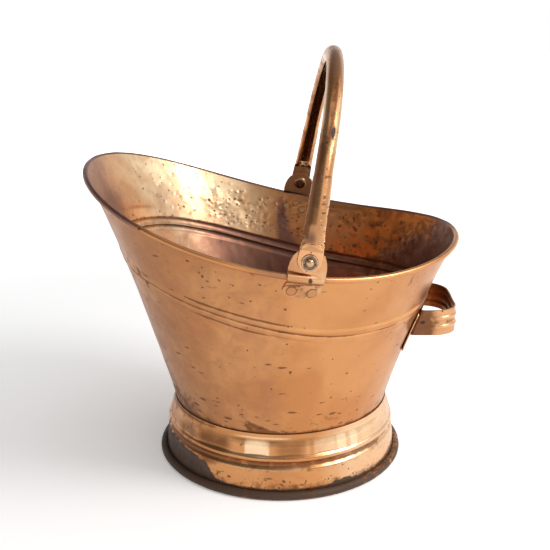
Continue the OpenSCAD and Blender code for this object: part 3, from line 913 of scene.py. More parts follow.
@dataclass(frozen=True)
class Blot:
    """One soft stain on the wall: its angle, its drop below the rim, its reach and strength."""

    t: float
    drop: float
    wide: float
    tall: float
    level: float = 1.0

    def at(self, t: Array, drop: Array) -> Array:
        """Strength of the stain at each angle and drop.

        Args:
            t: angle round the body.
            drop: distance below the rim.

        Returns:
            The strength.
        """
        arc_of_a_degree = 2.9
        across = turn_from(self.t, t) * arc_of_a_degree
        return self.level * bell(across, 0, self.wide) * bell(drop, self.drop, self.tall)


def round_blots(places: Stops, reach: float, level: float) -> list[Blot]:
    """Round stains of one size at places given as angle and drop."""
    return [Blot(t, drop, reach, reach, level) for t, drop in places]


def by_angle(t: Array, *stops: tuple[float, float]) -> Array:
    """Level at each angle, from stops of angle and level."""
    angles, levels = zip(*stops)
    return np.interp(np.asarray(t) % 360, angles, levels, period=360)


@dataclass
class BodyShell:
    """The flared wall with its double swage and the rim rolled round a wire."""

    stations: int = 720
    low_rows: int = 46
    bead_rows: int = 42
    high_rows: int = 70
    lap: float = 9.0
    roll_steps: int = 14
    roll_sweep: float = 318.0
    # Where the painted shadow on the back of the inside starts, how far below the rim, and how steeply its
    # edge slants.
    shade_start: float = 198.0
    shade_drop: float = 8.6
    shade_slope: float = 1.9

    def station_angles(self) -> Array:
        """Angles round the body, closer together where dents and stains show.

        Returns:
            The angles.
        """
        t = np.linspace(0, 360, 3601)
        density = 1 + 1.1 * ease(t, 180, 205) * (1 - ease(t, 325, 350))
        density += 0.7 * ease(t, 30, 45) * (1 - ease(t, 125, 150))
        total = np.concatenate([[0], np.cumsum((density[1:] + density[:-1]) / 2)])
        return np.interp(np.arange(self.stations) / self.stations * total[-1], total, t)

    def shares(self, t: Array) -> Array:
        """Shares of the wall at which it has rows, one row of stations each.

        Args:
            t: angle round the body.

        Returns:
            The shares.
        """
        middle = WALL.swage_middle(t)
        spread = WALL.bead_width + 2.4
        low = WALL.share_below_rim(t, middle + spread)
        high = WALL.share_below_rim(t, middle - spread)
        rows = [low * q for q in np.arange(self.low_rows) / self.low_rows]
        rows += [low + (high - low) * q for q in np.arange(self.bead_rows) / self.bead_rows]
        rows += [high + (1 - high) * q for q in np.arange(self.high_rows) / (self.high_rows - 1)]
        return np.array(rows)

    def groove(self, t: Array) -> tuple[Array, Array]:
        """Where the groove between the beads really runs, and half the beads' spread.

        Args:
            t: angle round the body.

        Returns:
            How far the groove lies below its even line, and how far each bead reaches from it.
        """
        middle = by_angle(t, (0, -1.0), (45, -2.8), (85, -3.2), (98, -1.7), (115, -0.5), (135, 0), (345, 0))
        return middle, by_angle(t, (0, 9), (45, 7.9), (90, 7.9), (115, 9.4), (135, 9.6), (345, 9.6))

    def swage(self, t: Array, share: Array) -> Array:
        """How far the two beads and the groove between them stand out of the wall.

        Args:
            t: angle round the body.
            share: share of the wall.

        Returns:
            The distance.
        """
        middle, spread = self.groove(t)
        below = (1 - share) * WALL.wall_length(t) - WALL.swage_middle(t) - middle
        across = np.clip(np.abs(below) / spread, 0, 1)
        high = by_angle(
            t, (0, 0.7), (30, 0.5), (80, 0.6), (100, 1.3), (150, 1.7), (185, 1.5), (250, 1.1), (330, 1)
        )
        lower = by_angle(t, (0, 1), (85, 1), (105, 0.5), (165, 0.45), (190, 1))
        high = high * np.where(below > 0, lower, 1)
        return high * sind(180 * across) ** (0.9 + 0.9 * across) - 0.35 * bell(below, 0, 1.2)

    def dimples(self) -> list[Dimple]:
        """Dents and blisters, seeded: thick on the far wall's inside, few elsewhere.

        Returns:
            The dents and blisters.
        """
        draw = np.random.default_rng(41)
        found = []
        for count, (low, high), (bottom, top), (small, large), deep, stained in (
            (120, (260, 294), (0.73, 0.97), (1.5, 2.9), 0.55, 0.38),
            (70, (276, 300), (0.72, 0.9), (1.3, 2.2), 0.45, 0.42),
            (46, (292, 336), (0.74, 0.97), (1.5, 2.6), 0.5, 0.35),
            (130, (203, 262), (0.66, 0.97), (2.4, 4.2), 0.5, 0.6),
            (60, (225, 330), (0.25, 0.62), (2, 4), 0.3, 0.2),
        ):
            for _ in range(count):
                height = -draw.choice([1.0, -0.75]) * draw.uniform(0.4, 1) * deep
                found.append(Dimple(
                    draw.uniform(low, high), draw.uniform(bottom, top), draw.uniform(small, large),
                    height, float(draw.uniform() < stained),
                ))
        for _ in range(60):
            t = draw.uniform(0, 360)
            found.append(Dimple(t, draw.uniform(0.2, 0.9), draw.uniform(6, 15), draw.uniform(-0.4, 0.25)))
        return found

    def scattered(self, columns: Array, where: Array, spots: list[Dimple]) -> Array:
        """Sum of soft round bumps.

        Args:
            columns: angle of each station.
            where: the points on the plain wall, row by row.
            spots: the bumps.

        Returns:
            How high the bumps stand at each point.
        """
        total = np.zeros(where.shape[:2])
        for spot in spots:
            near = np.nonzero(np.abs(turn_from(spot.t, columns)) < spot.radius * 1.1 + 1)[0]
            gap = ((where[:, near] - WALL.wall(spot.t, spot.share)) ** 2).sum(axis=-1)
            total[:, near] += spot.height * np.exp(-gap / spot.radius**2)
        return total

    def build(self) -> Solid:
        """Builds the shell.

        Returns:
            The shell with its marks.
        """
        columns = self.station_angles()
        share = self.shares(columns)
        t = np.broadcast_to(columns, share.shape)
        plain, out = WALL.wall(t, share), WALL.wall_out(t, share)
        dimples = self.dimples()
        uneven = Ripple(7, 90, 0.55).at(plain) + Ripple(8, 32, 0.14).at(plain)
        beaten = ease(t, 195, 230) * (1 - ease(t, 318, 345))
        uneven = uneven + beaten * Ripple(12, 15, 0.075).at(plain)
        uneven = uneven + self.scattered(columns, plain, dimples)
        uneven = uneven * ease(share, 0, 0.08) * (1 - ease(share, 0.965, 0.997))
        push = (uneven + self.swage(t, share))[..., None]
        stains = [Dimple(d.t, d.share, 0.45 * d.radius + 0.5, d.stain) for d in dimples if d.stain]
        spots = self.scattered(columns, plain, stains)
        low = self.lap * np.array([1.0, 0.5])[:, None, None]
        skirt = WALL.base(columns)[None] - low * [0, 0, 1]
        inset = WALL.radial(columns)[None] * WALL.sheet
        outer = plain + push * out
        inner = plain + (push - WALL.sheet) * out
        turn = 180 - np.arange(self.roll_steps + 1) * self.roll_sweep / self.roll_steps
        wave = Ripple(9, 34, 0.12).at(WALL.rim(columns))

        def rolled(radius: float, angles: Array) -> Array:
            """Rows of the roll at a radius round the wire."""
            reach = radius + wave
            return np.array([WALL.rim_point(columns, reach * cosd(a), reach * sind(a)) for a in angles])

        rows = [
            skirt, outer, rolled(WALL.wire_hole, turn[1:]),
            rolled(WALL.roll, turn[::-1]), inner[::-1], (skirt - inset)[::-1],
        ]
        ring = np.concatenate(rows)
        ends, rolls = np.zeros(skirt.shape[:2]), (2 * self.roll_steps + 1, len(columns))
        level = np.concatenate([ends, share, np.ones(rolls), share[::-1], ends])
        inside = np.concatenate([ends, 0 * share, np.full(rolls, 0.5), 1 + 0 * share, 1 + ends])
        dots = np.concatenate([ends, 0 * share, np.zeros(rolls), spots[::-1], ends])
        faces = grid_faces(len(ring), len(columns), close_rows=True, close_columns=True)
        return Solid(ring.reshape(-1, 3), faces, self.marks(columns, level, inside, dots))

    def marks(
        self, columns: Array, share: Array, inside: Array, dots: Array
    ) -> Marks:
        """Wear, browning, painted shade and painted highlights over the shell.

        Args:
            columns: angle of each station.
            share: share of the wall of each point.
            inside: 1 on the inner skin, 0 on the outer and a half on the roll.
            dots: strength of the dark spots in the dimples.

        Returns:
            The level of each mark at each point.
        """
        t = np.broadcast_to(columns, share.shape)
        drop = (1 - share) * WALL.wall_length(columns)
        below = drop - WALL.swage_middle(columns)
        found = {mark: 0 * share for mark in Mark}
        for side, made in (
            (inside == 0, self.outer_marks(t, share, drop, below)),
            (inside == 1, self.inner_marks(t, share, drop, below, dots)),
            (inside == 0.5, self.roll_marks(t)),
        ):
            for mark, level in made.items():
                found[mark] = found[mark] + side * level
        return found

    def outer_marks(
        self, t: Array, share: Array, drop: Array, below: Array
    ) -> Marks:
        """Wear and browning of the outer skin, with painted shade on its left side and a painted shadow just
        above the collar's edge.

        Args:
            t: angle of each point.
            share: share of the wall of each point.
            drop: distance below the rim.
            below: distance below the swage's even line.

        Returns:
            The level of each mark at each point.
        """
        middle, spread = self.groove(t)
        line = below - middle
        front = ease(t, 56, 63) * (1 - ease(t, 88, 97))
        tarnish = 0.8 * front * bell(line, -spread - 0.2, 1.3)
        tarnish += 0.72 * ease(t, 58, 64) * (1 - ease(t, 84, 92)) * bell(line, spread, 1.1)
        main = by_angle(t, (0, 0.35), (30, 0.55), (60, 0.74), (98, 0.78), (118, 0.6), (150, 0.45), (170, 0.3))
        tarnish += main * bell(line, 0, 1.1)
        off = np.abs(line)
        tarnish += 0.2 * ease(off, spread - 3, spread) * (1 - ease(off, spread + 1, spread + 4))
        # A painted shadow darkens the wall just above the collar's edge.
        seam = 1 - ease(share, 0, 0.022)
        tarnish += 0.5 * seam * ease(sind(t), -0.2, 0.5)
        near = ease(sind(t), -0.3, 0.6)
        left = ease(cosd(t), 0.55, 0.95)
        # Tarnish on the left side is painted shade.
        tarnish += 0.34 * left + 0.3 * near * (1 - ease(share, 0.04, 0.22))
        for blot in (
            Blot(38, 72, 2.2, 6, 0.9), Blot(41, 80, 2, 3.5, 0.8), Blot(56, 42, 4, 1.1, 0.8),
            Blot(80, 43, 3.4, 1.1, 0.75), Blot(136, 16, 3.5, 9, 0.6),
            Blot(84, 200, 26, 3.4, 0.95), Blot(74, 206, 6, 2.2, 0.7), Blot(107, 175, 5, 1.3, 0.5),
        ):
            tarnish += blot.at(t, drop)
        strong = [(68, 23), (74, 24), (78, 25), (84, 5), (86, 16), (76, 41), (94, 58), (44, 195), (143, 14)]
        weak = [
            (69, 35), (100, 35), (91, 37), (112, 83), (114, 82), (107, 44), (116, 51), (129, 50), (60, 30),
        ]
        spots = 0.28 * near * ease(-below, 4, 18) * (1 - 0.7 * ease(t, 95, 120)) + 0.06 * near
        for blot in round_blots(strong, 1.9, 1) + round_blots(weak, 1.5, 0.72):
            spots = np.maximum(spots, blot.at(t, drop))
        dashes = near * ease(share, 0.005, 0.02) * (0.72 - 0.66 * ease(share, 0.05, 0.24))
        # Soot along the collar's edge and on the left side, and plum on the left side and on the near side's
        # left half, are painted shade.
        soot = 0.45 * (1 - ease(share, 0, 0.012)) * near + 0.15 * left
        return {
            Mark.TARNISH_AND_SHADE: tarnish, Mark.SOOT_AND_SHADE: soot, Mark.SPOTS: spots, Mark.DASHES: dashes,
            Mark.PLUM_AND_SHADE: np.maximum(0.42 * left, 0.36 * near * (1 - ease(t, 84, 108))), Mark.PITS: 0.03 + 0 * t,
        }

    def inner_marks(
        self, t: Array, share: Array, drop: Array, below: Array, dots: Array
    ) -> Marks:
        """Marks of the inner skin: browning and stains, painted highlights where the far wall reflects the
        lamps, a painted shadow on the back, and darker towards the bottom and the back.

        Args:
            t: angle of each point.
            share: share of the wall of each point.
            drop: distance below the rim.
            below: distance below the swage's even line.
            dots: strength of the dark spots in the dimples.

        Returns:
            The level of each mark at each point.
        """
        above = ease(-below, 7.5, 11)
        # shine is a painted highlight: the far wall's reflection of the lamps.
        shine = by_angle(
            t, (225, 0), (240, 0.2), (248, 0.36), (257, 0.16), (264, 0.12), (272, 0.34), (281, 0.86),
            (291, 0.86),
            (301, 0.6), (310, 0.58), (318, 1), (328, 1), (335, 0.6), (343, 0.28), (359, 0),
        )
        rear = by_angle(
            t, (90, 0.7), (165, 1), (225, 0.95), (245, 0.55), (262, 0.1), (280, 0), (350, 0),
            (359, 0.2),
        )
        deep = 1 - ease(share, 0.1, 0.6)
        lower = by_angle(t, (60, 0.74), (290, 0.74), (318, 0.5), (335, 0.4), (359, 0.5))
        upper = by_angle(t, (262, 0.05), (285, 0), (328, 0), (343, 0.18), (352, 0.36), (359, 0.58))
        upper += 0.3 * ease(drop, 26, 48) * by_angle(t, (322, 0), (345, 0.6), (352, 1), (359, 1))
        plum = (1 - above) * lower + above * upper
        patchy = Ripple(61, 26, 1).at(WALL.wall(t, share))
        flecked = Ripple(62, 8, 1).at(WALL.wall(t, share))
        # shade is a painted shadow on the back of the inside, with a slanting edge; it goes into plum,
        # tarnish and amber.
        shade = drop - self.shade_drop - self.shade_slope * (t - self.shade_start)
        shade = ease(shade + 10 * patchy + 7 * flecked, -17, 15) * ease(t, 60, 120) * (1 - ease(t, 224, 246))
        stripe = Blot(267, 33, 8, 30).at(t, drop)
        plum += 0.8 * stripe + Blot(264, 60, 14, 14, 0.6).at(t, drop)
        bead = bell(below, 2, 5.5)
        faded = (1 - 0.2 * np.clip(patchy, 0, 1)) * (1 - 0.22 * np.clip(flecked, 0, 1))
        # pale is the painted highlight, along the inner bead too, and a painted reflection below the swage on
        # the left.
        pale = shine * above * faded * (1 - 0.22 * ease(drop, 16, 42)) + 0.35 * shine * bead
        pale += 0.48 * (1 - above) * by_angle(t, (296, 0), (312, 1), (338, 1), (355, 0))
        tarnish = rear * (0.33 + 0.03 * shade) + 0.25 * stripe + 0.14 * above
        tarnish += (1 - above) * (0.14 * rear + 0.4 * deep)
        tarnish += 0.5 * bell(below, -8.5, 1.6) * (1 - 0.5 * rear)
        soot = rear * (0.05 + 0.2 * (1 - above)) + deep * (0.18 + 0.2 * rear) + 0.36 * stripe
        plum += 0.56 * shade * above
        plum += 0.42 * above * ease(drop, 18, 42) * by_angle(t, (280, 0), (289, 1), (322, 1), (333, 0))
        amber = rear * (0.8 * above * (1 - 0.8 * shade) + 0.2) + Blot(338, 62, 30, 2.2, 0.7).at(t, drop)
        amber += 0.42 * above * by_angle(t, (240, 0.2), (265, 1), (281, 0.4), (290, 0))
        amber += 0.2 * above * np.clip(patchy, 0, 1) * (1 - rear)
        alone = [
            (315, 6), (308, 10), (301, 7), (292, 15), (316, 38), (304, 31), (313, 54), (290, 39), (324, 10),
            (280, 47),
        ]
        spots = np.minimum(dots, 1) * above
        for blot in round_blots(alone, 2.1, 1):
            spots = np.maximum(spots, blot.at(t, drop))
        pits = above * by_angle(t, (225, 0), (255, 0.2), (280, 0.26), (292, 0.2), (320, 0.12), (340, 0))
        return {
            Mark.PAINTED_HIGHLIGHT: pale, Mark.AMBER: amber, Mark.PLUM_AND_SHADE: plum, Mark.TARNISH_AND_SHADE: tarnish,
            Mark.SOOT_AND_SHADE: soot, Mark.SPOTS: spots, Mark.PITS: pits,
        }

    def roll_marks(self, t: Array) -> Marks:
        """Wear and browning of the rolled rim, which is dark round the lip.

        Args:
            t: angle round the body.

        Returns:
            The level of each mark at each point.
        """
        lip = by_angle(
            t, (0, 1), (44, 1), (58, 0), (172, 0), (188, 0.8), (198, 1.1), (228, 0.9), (240, 0.3),
            (300, 0.4), (320, 0.9),
        )
        dull = by_angle(
            t, (78, 0), (88, 1), (103, 1), (112, 0), (195, 0), (230, 1), (345, 1), (358, 0)
        )
        return {
            Mark.SOOT_AND_SHADE: 0.32 * lip, Mark.TARNISH_AND_SHADE: 0.25 * lip + 0.25 * dull, Mark.PLUM_AND_SHADE: 0.5 * dull + 0.95 * lip,
        }

    def add(self, shop: Workshop) -> None:
        """Adds the shell to the scene."""
        shop.piece("body", self.build(), Body.SCUTTLE, Finish.BODY, "body_shell", 55)


# Foot


@dataclass(frozen=True)
class Facet:
    """One flattened place hammered into the foot's barrel, with the strength of a painted highlight and of a
    painted dark reflection on its flat.
    """

    t: float
    half_angle: float
    depth: float
    lean: float = 0.0
    bright: float = 0.0
    brown: float = 0.0


@dataclass
class FootRing:
    """The spun foot: collar, barrel, ledge, groove, ridge and skirt rolled round a wire."""

    stations: int = 640
    foot_radius: float = 130.0
    wire_hole: float = 3.15
    sheet: float = 1.1
    wear: float = 0.3
    collar_fit: float = 0.2
    barrel_step: float = 4.2
    ledge_height: float = 41.0
    ledge_depth: float = 2.0
    roll_end: float = 495.0

    @property
    def roll(self) -> float:
        """Outer radius of the sheet rolled round the foot's wire."""
        return self.wire_hole + self.sheet

    @property
    def wire_z(self) -> float:
        """Height of the foot's wire."""
        return self.roll - self.wear

    @property
    def barrel(self) -> float:
        """Radius of the foot's barrel."""
        return WALL.base_radius + self.collar_fit + self.sheet + self.barrel_step

    def face(self) -> Array:
        """Outer face of the foot, as radius and height, from the collar down.

        Returns:
            The face.
        """
        collar, barrel, top = self.barrel - self.barrel_step, self.barrel, WALL.foot_height
        groove, ledge = barrel + 0.9, self.ledge_height
        proud, skirt = groove + self.ledge_depth, self.foot_radius - self.wire_hole
        stops = [
            (collar, top), (collar + 0.5, top - 5), (collar + self.barrel_step * 0.55, top - 9),
            (barrel - 0.5, top - 12.5), (barrel, ledge + 9), (barrel + 0.6, ledge + 4),
            (proud - 0.5, ledge + 1.6), (proud, ledge), (proud - 0.3, ledge - 1.8),
            (groove, ledge - 4.6), (groove, ledge - 7.6), (proud + 0.4, ledge - 10.6),
            (proud + 1, ledge - 13.5), ((proud + skirt) / 2 + 0.8, ledge - 21),
            (skirt, self.wire_z + 5), (skirt, self.wire_z),
        ]
        return smooth_line(stops, 6)

    def facets(self) -> list[Facet]:
        """Flattened places round the barrel, listed in front and seeded elsewhere.

        Returns:
            The facets.
        """
        found = [
            Facet(36, 8, 0.3, 0.1, 0, 0.1), Facet(54.5, 11, 0.6, -0.3, 0, 0.62),
            Facet(78.4, 6.2, 1.3, 0, 0.92), Facet(94.2, 7.6, 0.9, -0.4, 0, 0.36),
            Facet(103.2, 1.5, 0.5, 0.4, 0.28), Facet(112, 6.4, 1, 0.2, 0.42),
            Facet(121, 3, 1, 0.5, 0.65), Facet(128.7, 2.6, 1, 0.5, 0.55),
            Facet(138, 4.5, 0.5, 0.3, 0.1),
        ]
        draw = np.random.default_rng(5)
        t = 145.0
        while t < 390:
            half = draw.uniform(5, 9)
            bright, brown = draw.uniform(-0.4, 0.5), draw.uniform(-0.3, 0.6)
            depth, lean = draw.uniform(0.3, 0.8), draw.uniform(-0.5, 0.5)
            found.append(Facet(t + half, half, depth, lean, max(bright, 0) * 0.4, max(brown, 0) * 0.5))
            t += 2 * half + draw.uniform(0, 4)
        return found

    def on_facet(self, t: Array, height: Array, facet: Facet) -> Array:
        """1 on the flat of a facet and 0 off it, with a crisper border where its painted highlight is strong.

        Args:
            t: angle round the body.
            height: height above the floor.
            facet: the facet.

        Returns:
            The share.
        """
        turn = np.abs(turn_from(facet.t, t))
        soft = 0.5 + 2.2 * (1 - facet.bright) + 3.4 * facet.brown
        across = 1 - ease(turn, facet.half_angle - soft, facet.half_angle + 0.3 * soft)
        return across * ease(height, 43.8 - soft, 45.0 + soft) * (1 - ease(height, 58.2 - soft, 59.4 + soft))

    def push(self, t: Array, height: Array) -> Array:
        """How far the foot's sheet is pushed out by hammering and wear.

        Args:
            t: angle round the foot.
            height: height above the floor.

        Returns:
            The push at each point.
        """
        where = self.foot_radius * WALL.radial(t) + points(0, 0, height)
        push = Ripple(21, 75, 0.45).at(where) + Ripple(22, 24, 0.12).at(where)
        barrel = ease(height, 41.8, 47) * (1 - ease(height, 53, 62))
        for facet in self.facets():
            turn = turn_from(facet.t, t) / facet.half_angle
            sag = self.barrel * (1 - math.cos(math.radians(facet.half_angle)))
            hollow = np.clip(1 - turn**2, 0, 1)
            push = push - barrel * (facet.depth * sag * hollow - facet.lean * turn * hollow)
        return push * ease(height, self.wire_z, self.wire_z + 8) * (1 - ease(height, 60, 65))

    def build(self) -> Solid:
        """Builds the foot.

        Returns:
            The foot with its marks.
        """
        t = np.arange(self.stations) * 360 / self.stations
        face = self.face()
        angles = np.arange(195, self.roll_end + 1, 12)
        wave = 0.18 * np.sin(np.radians(t * 3 + 40)) + 0.12 * np.sin(np.radians(t * 7))

        def revolve(line: Array, inset: float) -> Array:
            """Rows of the sheet's face, pushed about by hand.

            Args:
                line: the face, as radius and height.
                inset: distance inwards from the face.

            Returns:
                The rows.
            """
            height = np.broadcast_to(line[:, 1][:, None], (len(line), len(t)))
            turn = np.broadcast_to(t, height.shape)
            radius = line[:, 0][:, None] - inset + self.push(turn, height)
            return points(-radius * cosd(turn), -radius * sind(turn), height)

        def rolled(radius: float, turns: Array) -> Array:
            """Rows of the roll at a radius round the foot's wire.

            Args:
                radius: radius round the wire.
                turns: angles round the wire.

            Returns:
                The rows.
            """
            out = self.foot_radius + radius * cosd(turns)[:, None] + wave * (sind(turns)[:, None] > -0.5)
            height = np.maximum(self.wire_z + radius * sind(turns), 0)[:, None] + 0 * t
            return points(-out * cosd(t), -out * sind(t), height)

        rows = np.concatenate([
            revolve(face, 0), rolled(self.wire_hole, angles),
            rolled(self.roll, angles[::-1]), revolve(face[::-1], self.sheet),
        ])
        faces = grid_faces(len(rows), len(t), close_rows=True, close_columns=True)
        return Solid(rows.reshape(-1, 3), faces, self.marks(rows, t, len(face)))

    def marks(self, rows: Array, t: Array, face_rows: int) -> Marks:
        """Wear and browning over the foot, with painted highlights and painted dark reflections on its
        facets, painted highlight lines and edges, and painted shade on its left side.

        Args:
            rows: the points, row by row.
            t: angle of each station.
            face_rows: how many of the rows are on the outer face.

        Returns:
            The level of each mark at each point.
        """
        height = rows[..., 2]
        turn = np.broadcast_to(t, height.shape)
        index = np.arange(len(rows))[:, None]
        inside = np.broadcast_to(index >= len(rows) - face_rows, height.shape).astype(float)
        outside = 1 - inside
        radius = np.hypot(rows[..., 0], rows[..., 1])
        bright, brown = 0 * height, 0 * height
        # Facets get painted highlights as pale and painted dark reflections as amber.
        for facet in self.facets():
            flat = outside * self.on_facet(turn, height, facet)
            bright, brown = bright + flat * facet.bright, brown + flat * facet.brown
        # The tarnish and plum on the left side are painted shade.
        left = by_angle(turn, (0, 0.9), (20, 1), (52, 1), (60, 0.5), (66, 0), (330, 0), (345, 0.6))
        near = by_angle(turn, (20, 0), (60, 0.6), (90, 1), (120, 0.9), (165, 0.35), (200, 0.3), (300, 0.3))
        patch_top = by_angle(
            turn, (0, 31), (30, 31), (44, 29), (53, 24), (57.5, 13), (61, 10.2), (75, 9.6), (105, 9.2),
            (113, 10.3), (117.5, 13.4), (123, 13.8), (127.5, 9.6), (150, 8.2), (200, 9), (345, 27),
        )
        patch_top = patch_top + Ripple(23, 7, 1.1).at(rows)
        sharp = 0.8 + 1.6 * ease(turn, 54, 62) * (1 - ease(turn, 330, 345))
        soot = 0.95 * (1 - ease(height, patch_top - sharp, patch_top + sharp))
        wired = ease(radius, self.foot_radius - 2.5, self.foot_radius) * (1 - ease(height, 8, 9))
        # under lightens the roll's outer edge, a painted highlight.
        under = ease(radius, self.foot_radius + 1.4, self.foot_radius + 3.6) * (1 - ease(height, 1.2, 3.4))
        worn = wired * (0.26 + 0.05 * ease(turn, 96, 128) * (1 - ease(turn, 230, 300)))
        soot = outside * soot * (1 - worn) * (1 - 0.5 * under) + 0.6 * inside
        ledge = self.ledge_height
        tarnish = 0.52 * bell(height, ledge - 6.2, 3.2) + 0.36 * left
        tarnish += 0.5 * near * (1 - ease(height, 13, 23)) + 0.3 * wired
        tarnish += 0.2 * near * (1 - ease(np.abs(height - (ledge - 3.0)), 7, 13))
        tarnish += 0.3 * near * bell(height, 28, 3)
        tarnish += 0.4 * bell(height, 63.5, 1.2) * (1 - near)
        tarnish = outside * tarnish + inside * 0.9
        pits = outside * (1 - ease(height, 15, 26)) * (0.15 + 0.85 * near)
        # glints are painted highlight lines on the collar's shoulder, the barrel's lower edge and the ridge,
        # on the roll's outer edge and down the right side.
        glints = 0 * height
        for level, middle, reach, (start, full, fading, end) in (
            (0.7, 61.6, 0.9, (66, 72, 90, 96)), (0.6, 43.4, 0.8, (60, 67, 84, 90)),
            (0.5, 30.6, 0.9, (62, 70, 96, 104)),
        ):
            here = by_angle(turn, (start, 0), (full, 1), (fading, 1), (end, 0))
            glints += level * here * bell(height, middle, reach)
        rim = ease(radius, self.foot_radius + 3.2, self.foot_radius + 4.1) * ease(height, 2.4, 4)
        glints += 0.5 * rim * by_angle(turn, (0, 1), (46, 1), (60, 0), (118, 0), (140, 0.7), (200, 0.5))
        right = by_angle(turn, (108, 0), (126, 1), (165, 1), (200, 0.4), (300, 0))
        glints = outside * (glints + 0.6 * right * (1 - wired))
        # The plum on the left side is painted shade.
        plum = outside * (0.35 * (1 - ease(turn, 35, 55)) + 0.35 * bell(height, 20, 7) * (1 - near))
        return {
            Mark.PAINTED_HIGHLIGHT: np.minimum(bright + glints, 1), Mark.SOOT_AND_SHADE: soot, Mark.TARNISH_AND_SHADE: tarnish,
            Mark.PITS: pits, Mark.PLUM_AND_SHADE: plum, Mark.AMBER: 1.4 * brown,
            Mark.DASHES: 0.5 * near * outside * (1 - ease(height, 14, 25)),
        }

    def add(self, shop: Workshop) -> None:
        """Adds the foot to the scene."""
        shop.piece("foot", self.build(), Body.SCUTTLE, Finish.FOOT, "foot_ring", 60)


# Ears


